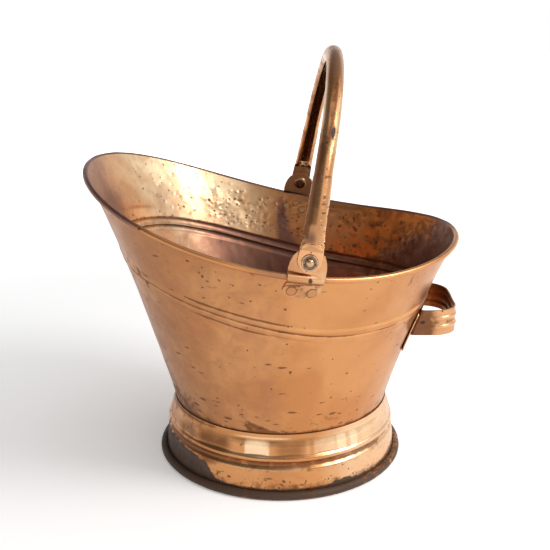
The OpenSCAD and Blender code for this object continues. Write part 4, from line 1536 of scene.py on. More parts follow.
@dataclass
class Ear:
    """Riveted ear that carries the bail: a flange, a band round the roll and a plate."""

    pivot_x: float = 24.9
    pivot_rise: float = 16.8
    sheet: float = 1.5
    slope: float = 11.5
    top_radius: float = 12.2
    flange_reach: float = 37.3
    flange_offset: float = 0.9
    rivet_spacing: float = 19.0
    rivet_drop: float = 30.8
    riveted_gap: float = 0.25
    band_start: float = -70.0
    band_slack: float = 0.2
    table_columns: int = 49
    columns: int = 36

    @property
    def angle(self) -> float:
        """Angle round the rim at which the wire passes the pivot."""
        share = -(self.pivot_x + WALL.mouth_setback) / (WALL.mouth_length / 2)
        return math.degrees(math.acos(share))

    @property
    def pivot(self) -> Array:
        """Middle of the near ear's inner face at the pivot."""
        height = WALL.rim(self.angle)[2] + self.pivot_rise
        return np.array([self.pivot_x, -float(WALL.half_width(self.angle)), height])

    @property
    def inner_y(self) -> float:
        """Distance of the plate's inner face from the middle plane."""
        return -self.pivot[1]

    def side(self, across: Array, up: Array) -> tuple[Array, Array]:
        """Place in the side view of a point along and across the sloping ear.

        Args:
            across: distance towards the back, measured from the pivot.
            up: distance up the ear.

        Returns:
            The point's x and z.
        """
        x = self.pivot_x + across * cosd(self.slope) + up * sind(self.slope)
        z = self.pivot[2] - across * sind(self.slope) + up * cosd(self.slope)
        return x, z

    def section(self, t: Array, skin: float) -> Array:
        """Sections of the ear's sheet across the rim.

        Args:
            t: angles round the rim, one for each section.
            skin: 0 for the inner face, the sheet's thickness for the outer.

        Returns:
            Grid of points, one row for each step up the section.
        """
        out = self.riveted_gap + skin
        radius = WALL.roll + self.band_slack + out
        rim = WALL.rim(t)
        offset = self.inner_y + skin + rim[:, 1]
        top = np.degrees(np.arccos(np.clip(offset / radius, 0.05, 0.95)))
        lean = np.degrees(np.arcsin(-WALL.rim_axes(t)[0][:, 2]))
        rows = [
            WALL.wall(t, WALL.share_below_rim(t, drop))
            + out * WALL.wall_out(t, WALL.share_below_rim(t, drop))
            for drop in np.linspace(40, 8, 17)
        ]
        last, foot = rows[-1], WALL.rim_point(t, out - WALL.wire_hole, -radius - 1.0)
        band = []
        for share in np.linspace(0, 1, 12):
            a = self.band_start + (top + lean - self.band_start) * share
            band.append(WALL.rim_point(t, radius * cosd(a), radius * sind(a)))
        for share in (0.35, 0.75):
            rows.append(last * (1 - share) + foot * share)
        rows.append((foot + band[0]) / 2)
        rows += band
        rise = radius * sind(top) + np.maximum(offset - radius * cosd(top), 0) + 0.2
        rows.append(points(rim[:, 0], -self.inner_y - skin, rim[:, 2] + rise))
        rows.append(points(rim[:, 0], -self.inner_y - skin, self.pivot[2] + 20))
        return np.array(rows)

    def outline(self) -> tuple[Array, Array, Array]:
        """Front and back edge of the ear at each of its heights.

        Returns:
            The heights up the ear, and the front and back edges at each of them.
        """
        low = -self.flange_reach
        up = np.concatenate([
            low + np.array([0, 0.25, 0.6, 1.1, 1.8, 2.7, 3.8, 5.0, 6.4, 8.0, 9.8, 11.6, 13.2, 14.6, 16.0]),
            np.linspace(-19.6, 6, 24), self.top_radius * sind(np.linspace(33, 84, 12)) * 0.98,
        ])
        front_stops = [
            (low, -8.0), (-36.9, -10.8), (-35.8, -13.6), (-34.4, -16.2), (-33.2, -17.7), (-31.7, -18.4),
            (-28.8, -17.8), (-25.5, -16.7), (-22.4, -15.2), (-17.8, -16.3), (-12.6, -17.2), (-9.0, -17.6),
            (-3.0, -16.9), (2, -15.2), (5.4, -13.2), (7, -11.9),
        ]
        back_stops = [
            (low, 3), (-36.9, 7), (-36.0, 10), (-34.2, 13), (-32.0, 15.3), (-29.6, 16.9),
            (-22.8, 17.3), (-17.8, 17.2), (-5.0, 16.9), (0, 15.9), (4, 14.3), (7.6, 12.3),
        ]
        crown = np.sqrt(np.clip((self.top_radius + 0.4) ** 2 - up**2, 0.5, None))
        front = np.interp(up, *zip(*front_stops))
        back = np.interp(up, *zip(*back_stops))
        front = np.where(up > 6.9, np.maximum(front, -crown), front)
        back = np.where(up > 7.5, np.minimum(back, crown), back)
        return up, front, back

    def skin(self, skin: float) -> Array:
        """One face of the ear inside its outline.

        Args:
            skin: 0 for the inner face, the sheet's thickness for the outer.

        Returns:
            Grid of points, rows up the ear and columns across it.
        """
        t = self.angle + np.linspace(-9.5, 9.5, self.table_columns)
        table = self.section(t, skin)
        up, front, back = self.outline()
        across = front[:, None] + (back - front)[:, None] * (crowded(self.columns, 0.93) + 1) / 2
        x, z = self.side(across, up[:, None] + 0 * across)
        rows = np.arange(len(table))
        made = np.zeros((*x.shape, 3))
        for place in np.ndindex(x.shape):
            column = self.table_columns / 2
            for _ in range(5):
                line = between(table.swapaxes(0, 1), column)
                level = between(table, np.interp(z[place], line[:, 2], rows))
                column = np.interp(x[place], level[:, 0], np.arange(self.table_columns))
            made[place] = between(level, column)
        return made

    def build(self) -> Solid:
        """Builds the near ear.

        Returns:
            The ear with its marks.
        """
        solid = plate(self.skin(self.sheet), self.skin(0), 0.35)
        x, _, z = solid.points.T
        below = WALL.rim(self.angle)[2] - z
        # crease marks the painted shade where the band meets the flange.
        crease = bell(below, 6.2, 1.1)
        heads = 0 * z
        for t, share in self.rivet_spots():
            reach = np.linalg.norm(solid.points - WALL.wall(t, share), axis=-1)
            heads = heads + bell(reach, 4.9, 0.6)
        worn = bell(x, self.pivot_x + 1.0, 3.0 + 0.16 * below) * bell(below, 0.6, 4.2)
        back = ease(x - self.pivot_x, -6, 10)
        # Pale just above the band lightens the crease there and pale on the plate's rear part is a painted
        # highlight; the dark in the crease under the band is painted shade.
        solid.marks = {
            Mark.PAINTED_HIGHLIGHT: 0.12 * back * ease(below, -6, -1) + 0.1 * bell(below, -5.4, 2.2),
            Mark.PLUM_AND_SHADE: 0.35 * (1 - back) * ease(-below, 3, 7),
            Mark.TARNISH_AND_SHADE: 0.2 + 0.17 * ease(below, 7, 9) + 0.55 * crease + 0.5 * heads + 0.3 * worn,
            Mark.SOOT_AND_SHADE: 0.15 * crease + 0.72 * worn, Mark.PITS: 0.06 + 0 * below,
        }
        return solid

    def rivet_spots(self) -> list[tuple[float, float]]:
        """Angle and share of the wall of the front and the rear rivet.

        Returns:
            Both spots.
        """
        spots = []
        for side in (-1, 1):
            x, z = self.side(side * self.rivet_spacing / 2 - self.flange_offset, -self.rivet_drop)
            t, share = WALL.find(0, x, z, self.angle, 0.93)
            spots.append((float(t), float(share)))
        return spots

    def add(self, shop: Workshop) -> None:
        """Adds both ears and their rivets to the scene.

        Args:
            shop: the workshop that makes the pieces.
        """
        shop.pair("{}_ear_plate", self.build(), Finish.FITTINGS, "{}_ear", 50)
        for end, height, spot in zip(("front", "rear"), (0.25, 0.5), self.rivet_spots()):
            stack = self.riveted_gap + self.sheet + 0.1
            rivet = FlatRivet(stack, height=height).build(Seat.on_wall(*spot), hash_of(end))
            name, node = f"{{}}_{end}_ear_rivet_head", f"{{}}_{end}_ear_rivet"
            shop.pair(name, rivet, Finish.RIVETS, node)


def hash_of(word: str) -> int:
    """Seed that is the same in each run for a word."""
    return sum(ord(letter) * (place + 3) for place, letter in enumerate(word))


@dataclass(frozen=True)
class FlatRivet:
    """Rivet beaten flat at both ends, through the wall and what is fastened to it."""

    stack: float
    shank: float = 2.1
    head: float = 4.3
    height: float = 0.9
    tail: float = 1.3

    def build(self, seat: Seat, seed: int) -> Solid:
        """Builds the rivet in its seat.

        Args:
            seat: seat on the wall.
            seed: seed of its unevenness.

        Returns:
            The rivet.
        """
        r, h, low, high = self.head, self.height, -self.tail, self.stack
        profile = [
            (0.3, low - h), (r * 0.6, low - h * 0.98), (r * 0.9, low - h * 0.8), (r, low - h * 0.4),
            (r * 0.98, low), (self.shank, low + 0.05), (self.shank, high - 0.05), (r * 0.99, high),
            (r * 1.02, high + h * 0.25), (r * 0.96, high + h * 0.7), (r * 0.82, high + h * 0.95),
            (r * 0.66, high + h * 0.86), (r * 0.5, high + h * 0.74), (0.3, high + h * 0.7),
        ]
        solid = turned(profile, 36)
        solid.points = solid.points + Ripple(seed, 5, 0.09).at(solid.points)[:, None] * unit(
            solid.points * [1, 1, 0.3] + 1e-6
        )
        solid.points[:, 2] = np.clip(solid.points[:, 2], low - h, high + h)
        radius = np.hypot(solid.points[:, 0], solid.points[:, 1])
        tail = (solid.points[:, 2] < 0).astype(float)
        edge = ease(radius, (0.81 - 0.1 * tail) * r, r)
        solid.marks = {
            Mark.TARNISH_AND_SHADE: 0.05 + (0.45 + 0.45 * tail) * edge, Mark.PAINTED_HIGHLIGHT: 0.1 * tail * (1 - edge),
            Mark.SOOT_AND_SHADE: (0.3 + 0.3 * tail) * ease(radius, 0.93 * r, 1.02 * r),
        }
        return seat.place(solid)


# Pivots


@dataclass
class Pivots:
    """Domed pivot rivets and their raised washers, one pair on each side."""

    ear: Ear
    shank: float = 3.0
    gap: float = 0.3
    eye: float = 3.0
    washer_radius: float = 7.7
    washer: float = 1.2
    head: float = 4.2
    head_height: float = 3.2
    tail: float = 7.0
    tail_height: float = 1.6

    def seat(self) -> Seat:
        """Seat at the near pivot on the middle plane, its third axis towards the viewer."""
        origin = self.ear.pivot * [1, 0, 1]
        return Seat(origin, np.array([[1.0, 0, 0], [0, 0, 1.0], [0, -1.0, 0]]))

    def rivet(self) -> Solid:
        """Domed rivet with a flat tail inside the ear.

        Returns:
            The near rivet.
        """
        low = self.ear.inner_y
        face = low + self.ear.sheet + 2 * self.gap + self.eye + self.washer
        ball = (self.head**2 + self.head_height**2) / (2 * self.head_height)
        sweep = math.degrees(math.asin(self.head / ball))
        dome = [
            (ball * sind(a), face + self.head_height - ball * (1 - cosd(a)))
            for a in np.linspace(sweep, 2, 11)
        ]
        dish = self.tail_height
        profile = [
            (0.3, low - dish * 0.97), (self.tail * 0.5, low - dish), (self.tail * 0.78, low - dish * 0.93),
            (self.tail * 0.94, low - dish * 0.7), (self.tail, low - dish * 0.35), (self.tail * 0.98, low),
            (self.shank, low + 0.02), (self.shank, face - 0.02), (self.head, face), *dome,
            (0.12, face + self.head_height),
        ]
        solid = turned(profile, 44)
        solid.marks = {Mark.SOOT_AND_SHADE: 0.62 * (solid.points[:, 2] < low + 0.01)}
        return self.seat().place(solid)

    def ring(self) -> Solid:
        """Washer with a raised outer ring and a recess round the rivet's head.

        Returns:
            The near washer.
        """
        low = self.ear.inner_y + self.ear.sheet + 2 * self.gap + self.eye
        r, h = self.washer_radius, self.washer
        profile = [
            (self.shank + 0.15, low), (r * 0.99, low), (r, low + h * 0.5), (r * 0.96, low + h * 0.95),
            (r * 0.9, low + h), (r * 0.84, low + h * 0.97), (r * 0.76, low + h * 0.62),
            (self.head + 0.25, low + h * 0.55), (self.shank + 0.15, low + h * 0.55),
        ]
        solid = turned(profile, 48)
        solid.faces = grid_faces(len(profile), 48, close_rows=True, close_columns=True)
        radius = np.hypot(solid.points[:, 0], solid.points[:, 1])
        solid.marks = {Mark.SOOT_AND_SHADE: 0.75 * (1 - ease(radius, r * 0.74, r * 0.86))}
        return self.seat().place(solid)

    def add(self, shop: Workshop) -> None:
        """Adds both pivots to the scene."""
        shop.pair("{}_pivot_rivet_turned", self.rivet(), Finish.BRASS, "{}_pivot_rivet")
        shop.pair("{}_pivot_washer_turned", self.ring(), Finish.WORN_BRASS, "{}_washer")


# Bail


@dataclass
class Bail:
    """Handle of folded copper channel, squashed flat into an eye at each end."""

    ear: Ear
    radius: float = 8.5
    wall: float = 1.2
    slot: float = 9.6
    rise: float = 169.6
    slant: float = 23.0
    lean: float = 9.7
    eye_radius: float = 11.4
    eye_drop: float = 9.6
    eye_thickness: float = 3.0
    gap: float = 0.3
    aim: float = 9.0
    bore: float = 3.06
    across_points: int = 30
    arc_steps: int = 84
    leg_steps: int = 40
    eye_steps: int = 62
    fold_start: float = 4.2
    fold_radius: float = 12.2
    scoop_start: float = 10.0
    scoop_depth: float = 7.0
    scoop_slope: float = 12.0
    swell_start: float = 20.0
    swell_pace: float = 2.03

    @property
    def eye_inner(self) -> float:
        """Distance of the eye's inner face from the middle plane."""
        return self.ear.inner_y + self.ear.sheet + self.gap

    @property
    def eye_outer(self) -> float:
        """Distance of the eye's outer face from the middle plane."""
        return self.eye_inner + self.eye_thickness

    @property
    def eye_y(self) -> float:
        """Distance of the eye's middle from the middle plane."""
        return (self.eye_inner + self.eye_outer) / 2

    @property
    def arc_radius(self) -> float:
        """Radius of the bail's top, to its centre line."""
        lean = math.radians(self.slant)
        return (self.eye_y * math.cos(lean) - (self.rise - self.aim) * math.sin(lean)) / (1 - math.sin(lean))

    @property
    def arc_height(self) -> float:
        """Height of the middle of the bail's arc above the pivots."""
        return self.rise - self.arc_radius

    @property
    def leg_top(self) -> float:
        """Height at which a leg runs into the arc."""
        return self.arc_height + self.arc_radius * math.sin(math.radians(self.slant))

    def leg_y(self, height: Array) -> Array:
        """Distance of a leg's centre line from the middle plane."""
        return self.eye_y - np.maximum(height - self.aim, 0) * math.tan(math.radians(self.slant))

    def half_width(self, height: Array) -> Array:
        """Half the width of eye and leg.

        Args:
            height: height above the pivot.

        Returns:
            The half width.
        """
        table = [(0, 11.4), (4.2, 11.4), (16, 10.6), (22, 10.3), (36, 9.7), (70, 9), (self.leg_top, 8.5)]
        wide = np.interp(height, *zip(*table))
        disc = np.sqrt(np.clip(1 - (np.minimum(height, 0) / self.eye_drop) ** 2, 0.0003, None))
        return np.where(height < 0, self.eye_radius * disc, wide)

    def half_depth(self, height: Array) -> Array:
        """Half the depth of eye and leg at a height above the pivot."""
        table = [(0, 5), (16.4, 5), (22, 5.8), (31, 7.6), (45, 8.5)]
        return np.interp(height, *zip(*table))

    def loop(self, open_angle: float) -> tuple[Array, Array, Array]:
        """Channel section of radius 1: its outer and then its inner face.

        Args:
            open_angle: half the angle that the slot takes up.

        Returns:
            Sideways and outward coordinates, and 1 for points of the inner face.
        """
        turn = np.linspace(-180 + open_angle, 180 - open_angle, self.across_points)
        angle = np.concatenate([turn, turn[::-1]])
        inner = np.concatenate([np.zeros(len(turn)), np.ones(len(turn))])
        return sind(angle), cosd(angle), inner

    def leg(self) -> Array:
        """Sections of one leg from the eye's lowest point to the arc.

        Returns:
            Grid of points: sideways, outwards and up, in the bail's own axes.
        """
        bottom = -self.eye_drop * cosd(np.linspace(1.5, 90, 20))
        heights = np.concatenate([
            bottom, np.linspace(0, 44, self.eye_steps)[1:],
            np.linspace(44, self.leg_top, self.leg_steps)[1:],
        ])
        open_angle = math.degrees(math.asin(self.slot / 2 / self.radius))
        side, out, inner = self.loop(open_angle)
        rows = []
        for height in heights:
            lean = math.radians(self.slant) * float(ease(height, 2, 38))
            wide, deep = float(self.half_width(height)), float(self.half_depth(height))
            thin_wide, thin_deep = wide - self.wall, deep - self.wall
            x = side * (wide * (1 - inner) + thin_wide * inner)
            along = out * (deep * (1 - inner) + thin_deep * inner)
            y = self.leg_y(height) + along * math.cos(lean)
            z = height + along * math.sin(lean)
            rows.append(self.squash(points(x, y, z), inner))
        return np.array(rows)

    def squash(self, section: Array, inner: Array) -> Array:
        """Presses a section flat where it forms the eye, with its slot closed to a seam.

        Args:
            section: the section's points, outer face first.
            inner: 1 for points of the channel's inner face.

        Returns:
            The pressed section.
        """
        x, y, z = section.T
        arc = self.fold_start + np.sqrt(np.clip(self.fold_radius**2 - x**2, 0, None))
        scoop = np.clip(z - self.scoop_start, 0, self.scoop_depth) * math.tan(math.radians(self.scoop_slope))
        scoop = self.eye_outer - scoop
        proud = scoop + 12 * ease(z, arc - 0.4, arc + 3.6)
        swell = self.eye_inner - np.clip(z - self.swell_start, 0, None) * self.swell_pace
        pressed = np.clip(y, np.minimum(swell, proud), proud)
        open_z = np.stack([x, np.clip(y, swell, proud - self.wall), z], axis=-1)[inner > 0]
        count = int((inner == 0).sum())
        face = np.stack([x, pressed, z], axis=-1)[:count]
        share = np.linspace(0, 1, count)[:, None]
        seam = face[-1] * (1 - share) + face[0] * share
        closed = (1 - ease(open_z[:, 2], 22, 26.5))[:, None]
        return np.concatenate([face, open_z * (1 - closed) + seam * closed])

    def arc(self) -> Array:
        """Sections of the bail's round top from the near leg to the far one.

        Returns:
            Grid of points, one row for each section.
        """
        open_angle = math.degrees(math.asin(self.slot / 2 / self.radius))
        side, out, inner = self.loop(open_angle)
        deep = self.radius - self.wall * inner
        rows = []
        for angle in np.linspace(self.slant, 180 - self.slant, self.arc_steps)[1:-1]:
            reach = self.arc_radius + out * deep
            rows.append(points(side * deep, reach * cosd(angle), self.arc_height + reach * sind(angle)))
        return np.array(rows)

    def build(self) -> Solid:
        """Builds the bail as it stands.

        Returns:
            The bail with its marks.
        """
        leg = self.leg()
        other = leg[::-1] * [1, -1, 1]
        sections = np.concatenate([leg, self.arc(), other])
        sections = sections * [1, -1, 1]
        flat = sections.reshape(-1, 3)
        wobble = ease(flat[:, 2], 40, 80)[:, None] * np.stack(
            [Ripple(31, 120, 0.5).at(flat), Ripple(32, 90, 0.3).at(flat), Ripple(33, 70, 0.25).at(flat)], -1
        )
        flat = flat + wobble
        rows, columns = sections.shape[:2]
        faces = grid_faces(rows, columns, close_columns=True) + end_caps(rows, columns)
        inside = (np.arange(len(flat)) % columns >= self.across_points).astype(float)
        marks = self.marks(flat, inside)
        turn = math.radians(self.lean)
        x = flat[:, 0] * math.cos(turn) + flat[:, 2] * math.sin(turn)
        z = -flat[:, 0] * math.sin(turn) + flat[:, 2] * math.cos(turn)
        stood = points(x, flat[:, 1], z) + self.ear.pivot * [1, 0, 1]
        return Solid(stood, faces, marks)

    def marks(self, where: Array, inside: Array) -> Marks:
        """Wear and browning over the bail, with painted highlights down the legs' right sides, along the near
        leg's left edge and in the channel, and painted shade down the near leg's left side.

        Args:
            where: its points in its own axes.
            inside: 1 for points inside the channel.

        Returns:
            The level of each mark at each point.
        """
        x, y, z = where.T
        arched = np.hypot(y, z - self.arc_height) - self.arc_radius
        off = np.where(z > self.leg_top, arched, np.abs(y) - self.leg_y(z))
        hollow = ease(-off, -1.5, 2.5) * ease(z, 24, 34) * (1 - inside)
        trough = inside * ease(z, 22, 30)
        near, low = ease(-y, -5, 5), 1 - ease(z, 95, 125)
        # right, high and flank carry painted highlights, and trough is painted light in the shaded channel.
        right = ease(x, 3, 6) * (1 - hollow)
        spot = near * bell(z, 110, 7) * bell(x, 2.5, 2.8)
        top = bell(z, 176, 7) * bell(x, -3, 6)
        patch = near * bell(z, 22, 9) * bell(x, -2, 5)
        reddish = near * bell(z, 147, 9) * bell(x, 0, 6)
        high = ease(z, 88, 104) * (1 - ease(z, 136, 150))
        # shadowed, and the tarnish down the legs' left sides, are painted shade.
        shadowed = near * low * ease(-x - 3.4 + 0.034 * z, -0.6, 3.6) * ease(z, 12, 34) * (1 - hollow)
        middle = near * bell(x, 0.5, 4.4) * ease(z, 74, 98) * (1 - ease(z, 150, 165))
        flank = near * ease(-x, 4.2, 6.8) * ease(z, 110, 122) * (1 - ease(z, 144, 154)) * (1 - hollow)
        return {
            Mark.PAINTED_HIGHLIGHT: near * right * (0.05 + 0.42 * high) + 0.35 * (1 - near) * right
            + 0.62 * trough + 0.5 * flank,
            Mark.AMBER: 0.45 * reddish + 0.18 * (1 - near) * (1 - inside)
            + 0.3 * trough * (1 - ease(z, 90, 130)),
            Mark.PLUM_AND_SHADE: 0.65 * patch + 0.5 * top,
            Mark.TARNISH_AND_SHADE: 0.1 + 0.45 * shadowed + 0.4 * middle + 0.14 * ease(-x, 2, 7) * (1 - flank)
            + 0.5 * spot + 0.2 * top + 0.22 * hollow, Mark.SOOT_AND_SHADE: 0.8 * spot + 0.34 * top,
            Mark.DASHES: 0.6 * near * low * ease(x, 1, 4) * ease(z, 14, 30) * (1 - inside),
            Mark.PITS: near * low * ease(x, 1, 4) * ease(z, 10, 24) * 1.25 + 0.16 * near + 0.4 * top,
        }

    def bored(self, piece: bpy.types.Object) -> None:
        """Bores both eyes for the pivot rivets.

        Args:
            piece: the bail.
        """
        pivot = self.ear.pivot
        bpy.ops.mesh.primitive_cylinder_add(
            vertices=48, radius=self.bore / 1000, depth=1.0,
            location=((pivot[0] + WALL.shift) / 1000, 0, pivot[2] / 1000), rotation=(math.pi / 2, 0, 0),
        )
        drill = bpy.context.object
        cut = piece.modifiers.new("pivot_bore", "BOOLEAN")
        cut.operation, cut.object, cut.solver = "DIFFERENCE", drill, "EXACT"
        bpy.context.view_layer.update()
        graph = bpy.context.evaluated_depsgraph_get()
        bored = bpy.data.meshes.new_from_object(piece.evaluated_get(graph))
        piece.modifiers.clear()
        plain, piece.data = piece.data, bored
        bored.name = "bail_bored"
        bpy.data.meshes.remove(plain)
        bpy.data.objects.remove(drill)

    def add(self, shop: Workshop) -> None:
        """Adds the bail to the scene."""
        self.bored(shop.piece("bail_channel", self.build(), Body.BAIL, Finish.BAIL, "bail", 50))


# Strap handle


@dataclass
class Strap:
    """Ribbed tipping handle at the back and the plate that its feet are riveted to."""

    width: float = 27.0
    sheet: float = 1.6
    half_span: float = 48.0
    reach: float = 187.5
    top: float = 173.5
    bend: float = 24.0
    tight_bend: float = 3.4
    rib_spacing: float = 9.5
    rib_width: float = 5.6
    rib_height: float = 1.4
    pad_length: float = 20.0
    plate_sheet: float = 1.2
    plate_margin: float = 4.0
    plate_hang: float = 17.0
    plate_drop: float = 2.5
    plate_corner: float = 6.0
    rivet_spacing: float = 16.0
    gap: float = 0.25

    @property
    def mid_x(self) -> float:
        """Distance of the outer run's middle layer behind the foot's axis."""
        return self.reach - self.rib_height - self.sheet / 2

    @property
    def mid_y(self) -> float:
        """Distance of a leg's middle layer from the middle plane."""
        return self.half_span - self.sheet / 2

    @property
    def mid_z(self) -> float:
        """Height of the strap's middle."""
        return self.top - self.width / 2

    def wall_x(self, y: Array, z: Array, off: float) -> Array:
        """Distance behind the axis of a sheet lying off the wall by a gap."""
        t, share = WALL.find(1, y, z, 180, 0.5)
        return (WALL.wall(t, share) + off * WALL.wall_out(t, share))[..., 0]

    def half_path(self, z: Array) -> Array:
        """Near half of the strap's middle layer at each height.

        Args:
            z: heights of the rows.

        Returns:
            Points along and up the half, from the foot's end to the outer run's middle.
        """
        off = 2 * self.gap + self.plate_sheet + self.sheet / 2
        pad_y = -np.linspace(self.mid_y - self.pad_length, self.mid_y - self.tight_bend, 12)
        y, height = np.meshgrid(pad_y, z, indexing="ij")
        pad = points(self.wall_x(y, height, off), y, height)
        corner, end_x = pad[-1], self.mid_x - self.bend
        runs = [
            (corner[:, 0] + self.tight_bend * (1 - cosd(a)), corner[:, 1] - self.tight_bend * sind(a))
            for a in np.linspace(0, 90, 8)[1:]
        ]
        start_x = runs[-1][0]
        runs += [(start_x * (1 - q) + end_x * q, -self.mid_y) for q in np.linspace(0, 1, 14)[1:]]
        runs += [
            (end_x + self.bend * sind(a), -self.mid_y + self.bend * (1 - cosd(a)))
            for a in np.linspace(0, 90, 22)[1:]
        ]
        runs += [(self.mid_x, (self.bend - self.mid_y) * (1 - q)) for q in np.linspace(0, 1, 12)[1:]]
        return np.concatenate([pad, [points(x, y, z) for x, y in runs]])

    def ribs(self, z: Array) -> Array:
        """How far the two ribs stand out at each height.

        Args:
            z: height of each row.

        Returns:
            The distance.
        """
        high = 0 * z
        for side in (-1, 1):
            away = (z - self.mid_z - side * self.rib_spacing / 2) / (self.rib_width / 2)
            high = high + self.rib_height * np.clip(cosd(90 * np.clip(away, -1, 1)), 0, 1) ** 1.3
        return high

    def build(self) -> Solid:
        """Builds the strap.

        Returns:
            The strap with its marks.
        """
        z = self.mid_z + self.width / 2 * crowded(41, 0.8)
        half = self.half_path(z)
        middle = np.concatenate([half, half[-2::-1] * [1, -1, 1]])
        along = np.gradient(middle, axis=0)
        out = unit(np.cross(along, [0.0, 0, 1.0]))
        if out[len(out) // 2, 0, 0] < 0:
            out = -out
        stretch = np.arange(len(middle))
        fade = ease(np.minimum(stretch, len(middle) - 1 - stretch), 20, 37)
        push = fade[:, None] * self.ribs(z)
        wave = Ripple(51, 60, 0.4).at(middle) * fade[:, None]
        outer = middle + (self.sheet / 2 + push + wave)[..., None] * out
        inner = middle + (-self.sheet / 2 + push + wave)[..., None] * out
        solid = plate(outer, inner, 0.4)
        count = outer.shape[0] * outer.shape[1]
        inward = np.zeros(len(solid.points))
        inward[count : 2 * count] = 1
        x, _, z = solid.points.T
        valley = bell(z, self.mid_z, 1.6)
        # crest carries a painted highlight on the ribs round the bend.
        crest = self.ribs(z) / self.rib_height * ease(x, 158, 172)
        # root is painted shade on the legs near the wall.
        root = 1 - ease(x, 152, 166)
        blotch = bell(x, 148, 5) * bell(z, self.mid_z + 1, 3.4)
        solid.marks = {
            Mark.PAINTED_HIGHLIGHT: (1 - inward) * 0.22 * crest,
            Mark.TARNISH_AND_SHADE: 0.33 + 0.34 * inward + 0.2 * valley + 0.3 * root + 0.4 * blotch,
            Mark.AMBER: 0.75 * inward, Mark.PLUM_AND_SHADE: 0.3 * root + 0.2 * (1 - crest),
            Mark.SOOT_AND_SHADE: 0.26 * inward + 0.1 * root + 0.5 * blotch * (1 - inward),
            Mark.PITS: 0.06 + 0 * valley,
        }
        return solid

    def plate_solid(self) -> Solid:
        """Plate between the strap's feet and the wall, its ends sprung off the wall.

        Returns:
            The plate.
        """
        span, corner = self.half_span + self.plate_margin, self.plate_corner
        low, high = self.top - self.width - self.plate_hang, self.top - self.plate_drop
        y, up = span * crowded(61, 0.96), (crowded(27, 0.9) + 1) / 2
        cut = corner * np.clip(1 - (span - np.abs(y)) / corner, 0, 1) ** 2
        z = (low + cut)[:, None] + (high - low - 2 * cut)[:, None] * up
        y = np.broadcast_to(y[:, None], z.shape)
        lift = 1.6 * ease(np.abs(y), span - 12, span) ** 1.5
        t, share = WALL.find(1, y, z, 180, 0.5)
        wall, out = WALL.wall(t, share), WALL.wall_out(t, share)
        inner = wall + (self.gap + lift)[..., None] * out
        outer = wall + (self.gap + lift + self.plate_sheet)[..., None] * out
        solid = plate(outer, inner, 0.3)
        # edge carries a painted highlight on the plate's sprung ends.
        edge = ease(np.abs(solid.points[:, 1]), span - 9, span)
        solid.marks = {Mark.TARNISH_AND_SHADE: 0.12 + 0.1 * edge, Mark.PAINTED_HIGHLIGHT: 0.3 * edge, Mark.PITS: 0.12 + 0 * edge}
        return solid

    def rivet_spots(self) -> list[tuple[float, float]]:
        """Angle and share of the wall of the near lower and the near upper rivet.

        Returns:
            Both spots.
        """
        t, share = WALL.find(1, -self.mid_y + self.pad_length / 2, self.mid_z, 165, 0.55)
        y = WALL.wall(t, share)[..., 1]
        spots = []
        for side in (-1, 1):
            place = WALL.find(1, y, self.mid_z + side * self.rivet_spacing / 2, float(t), float(share))
            spots.append((float(place[0]), float(place[1])))
        return spots

    def add(self, shop: Workshop) -> None:
        """Adds the strap, its plate and its rivets to the scene.

        Args:
            shop: the workshop that makes the pieces.
        """
        body, metal = Body.SCUTTLE, Finish.FITTINGS
        shop.piece("strap_ribbed", self.build(), body, metal, "strap_handle", 60)
        shop.piece("strap_back_plate", self.plate_solid(), body, metal, "strap_plate", 50)
        stack = self.plate_sheet + 2 * self.gap + self.sheet + 0.1
        for end, spot in zip(("lower", "upper"), self.rivet_spots()):
            rivet = FlatRivet(stack).build(Seat.on_wall(*spot), hash_of(end))
            name, node = f"strap_{{}}_{end}_rivet_head", f"strap_{{}}_{end}_rivet"
            shop.pair(name, rivet, Finish.RIVETS, node)


# Studio


@dataclass(frozen=True)
class Softbox:
    """Soft rectangular lamp that faces the scuttle."""

    name: str
    azimuth: float
    elevation: float
    distance: float
    width: float
    height: float
    radiance: float

    def add(self, aim: Vector) -> None:
        """Adds the lamp.

        Args:
            aim: the point that it faces.
        """
        a, e = math.radians(self.azimuth), math.radians(self.elevation)
        back = Vector((math.sin(a) * math.cos(e), -math.cos(a) * math.cos(e), math.sin(e)))
        lamp = bpy.data.lights.new(self.name, "AREA")
        lamp.shape, lamp.size, lamp.size_y = "RECTANGLE", self.width, self.height
        lamp.energy = self.radiance * math.pi * self.width * self.height
        made = bpy.data.objects.new(self.name, lamp)
        made.location = aim + back * self.distance
        made.rotation_euler = (-back).to_track_quat("-Z", "Y").to_euler()
        bpy.context.scene.collection.objects.link(made)


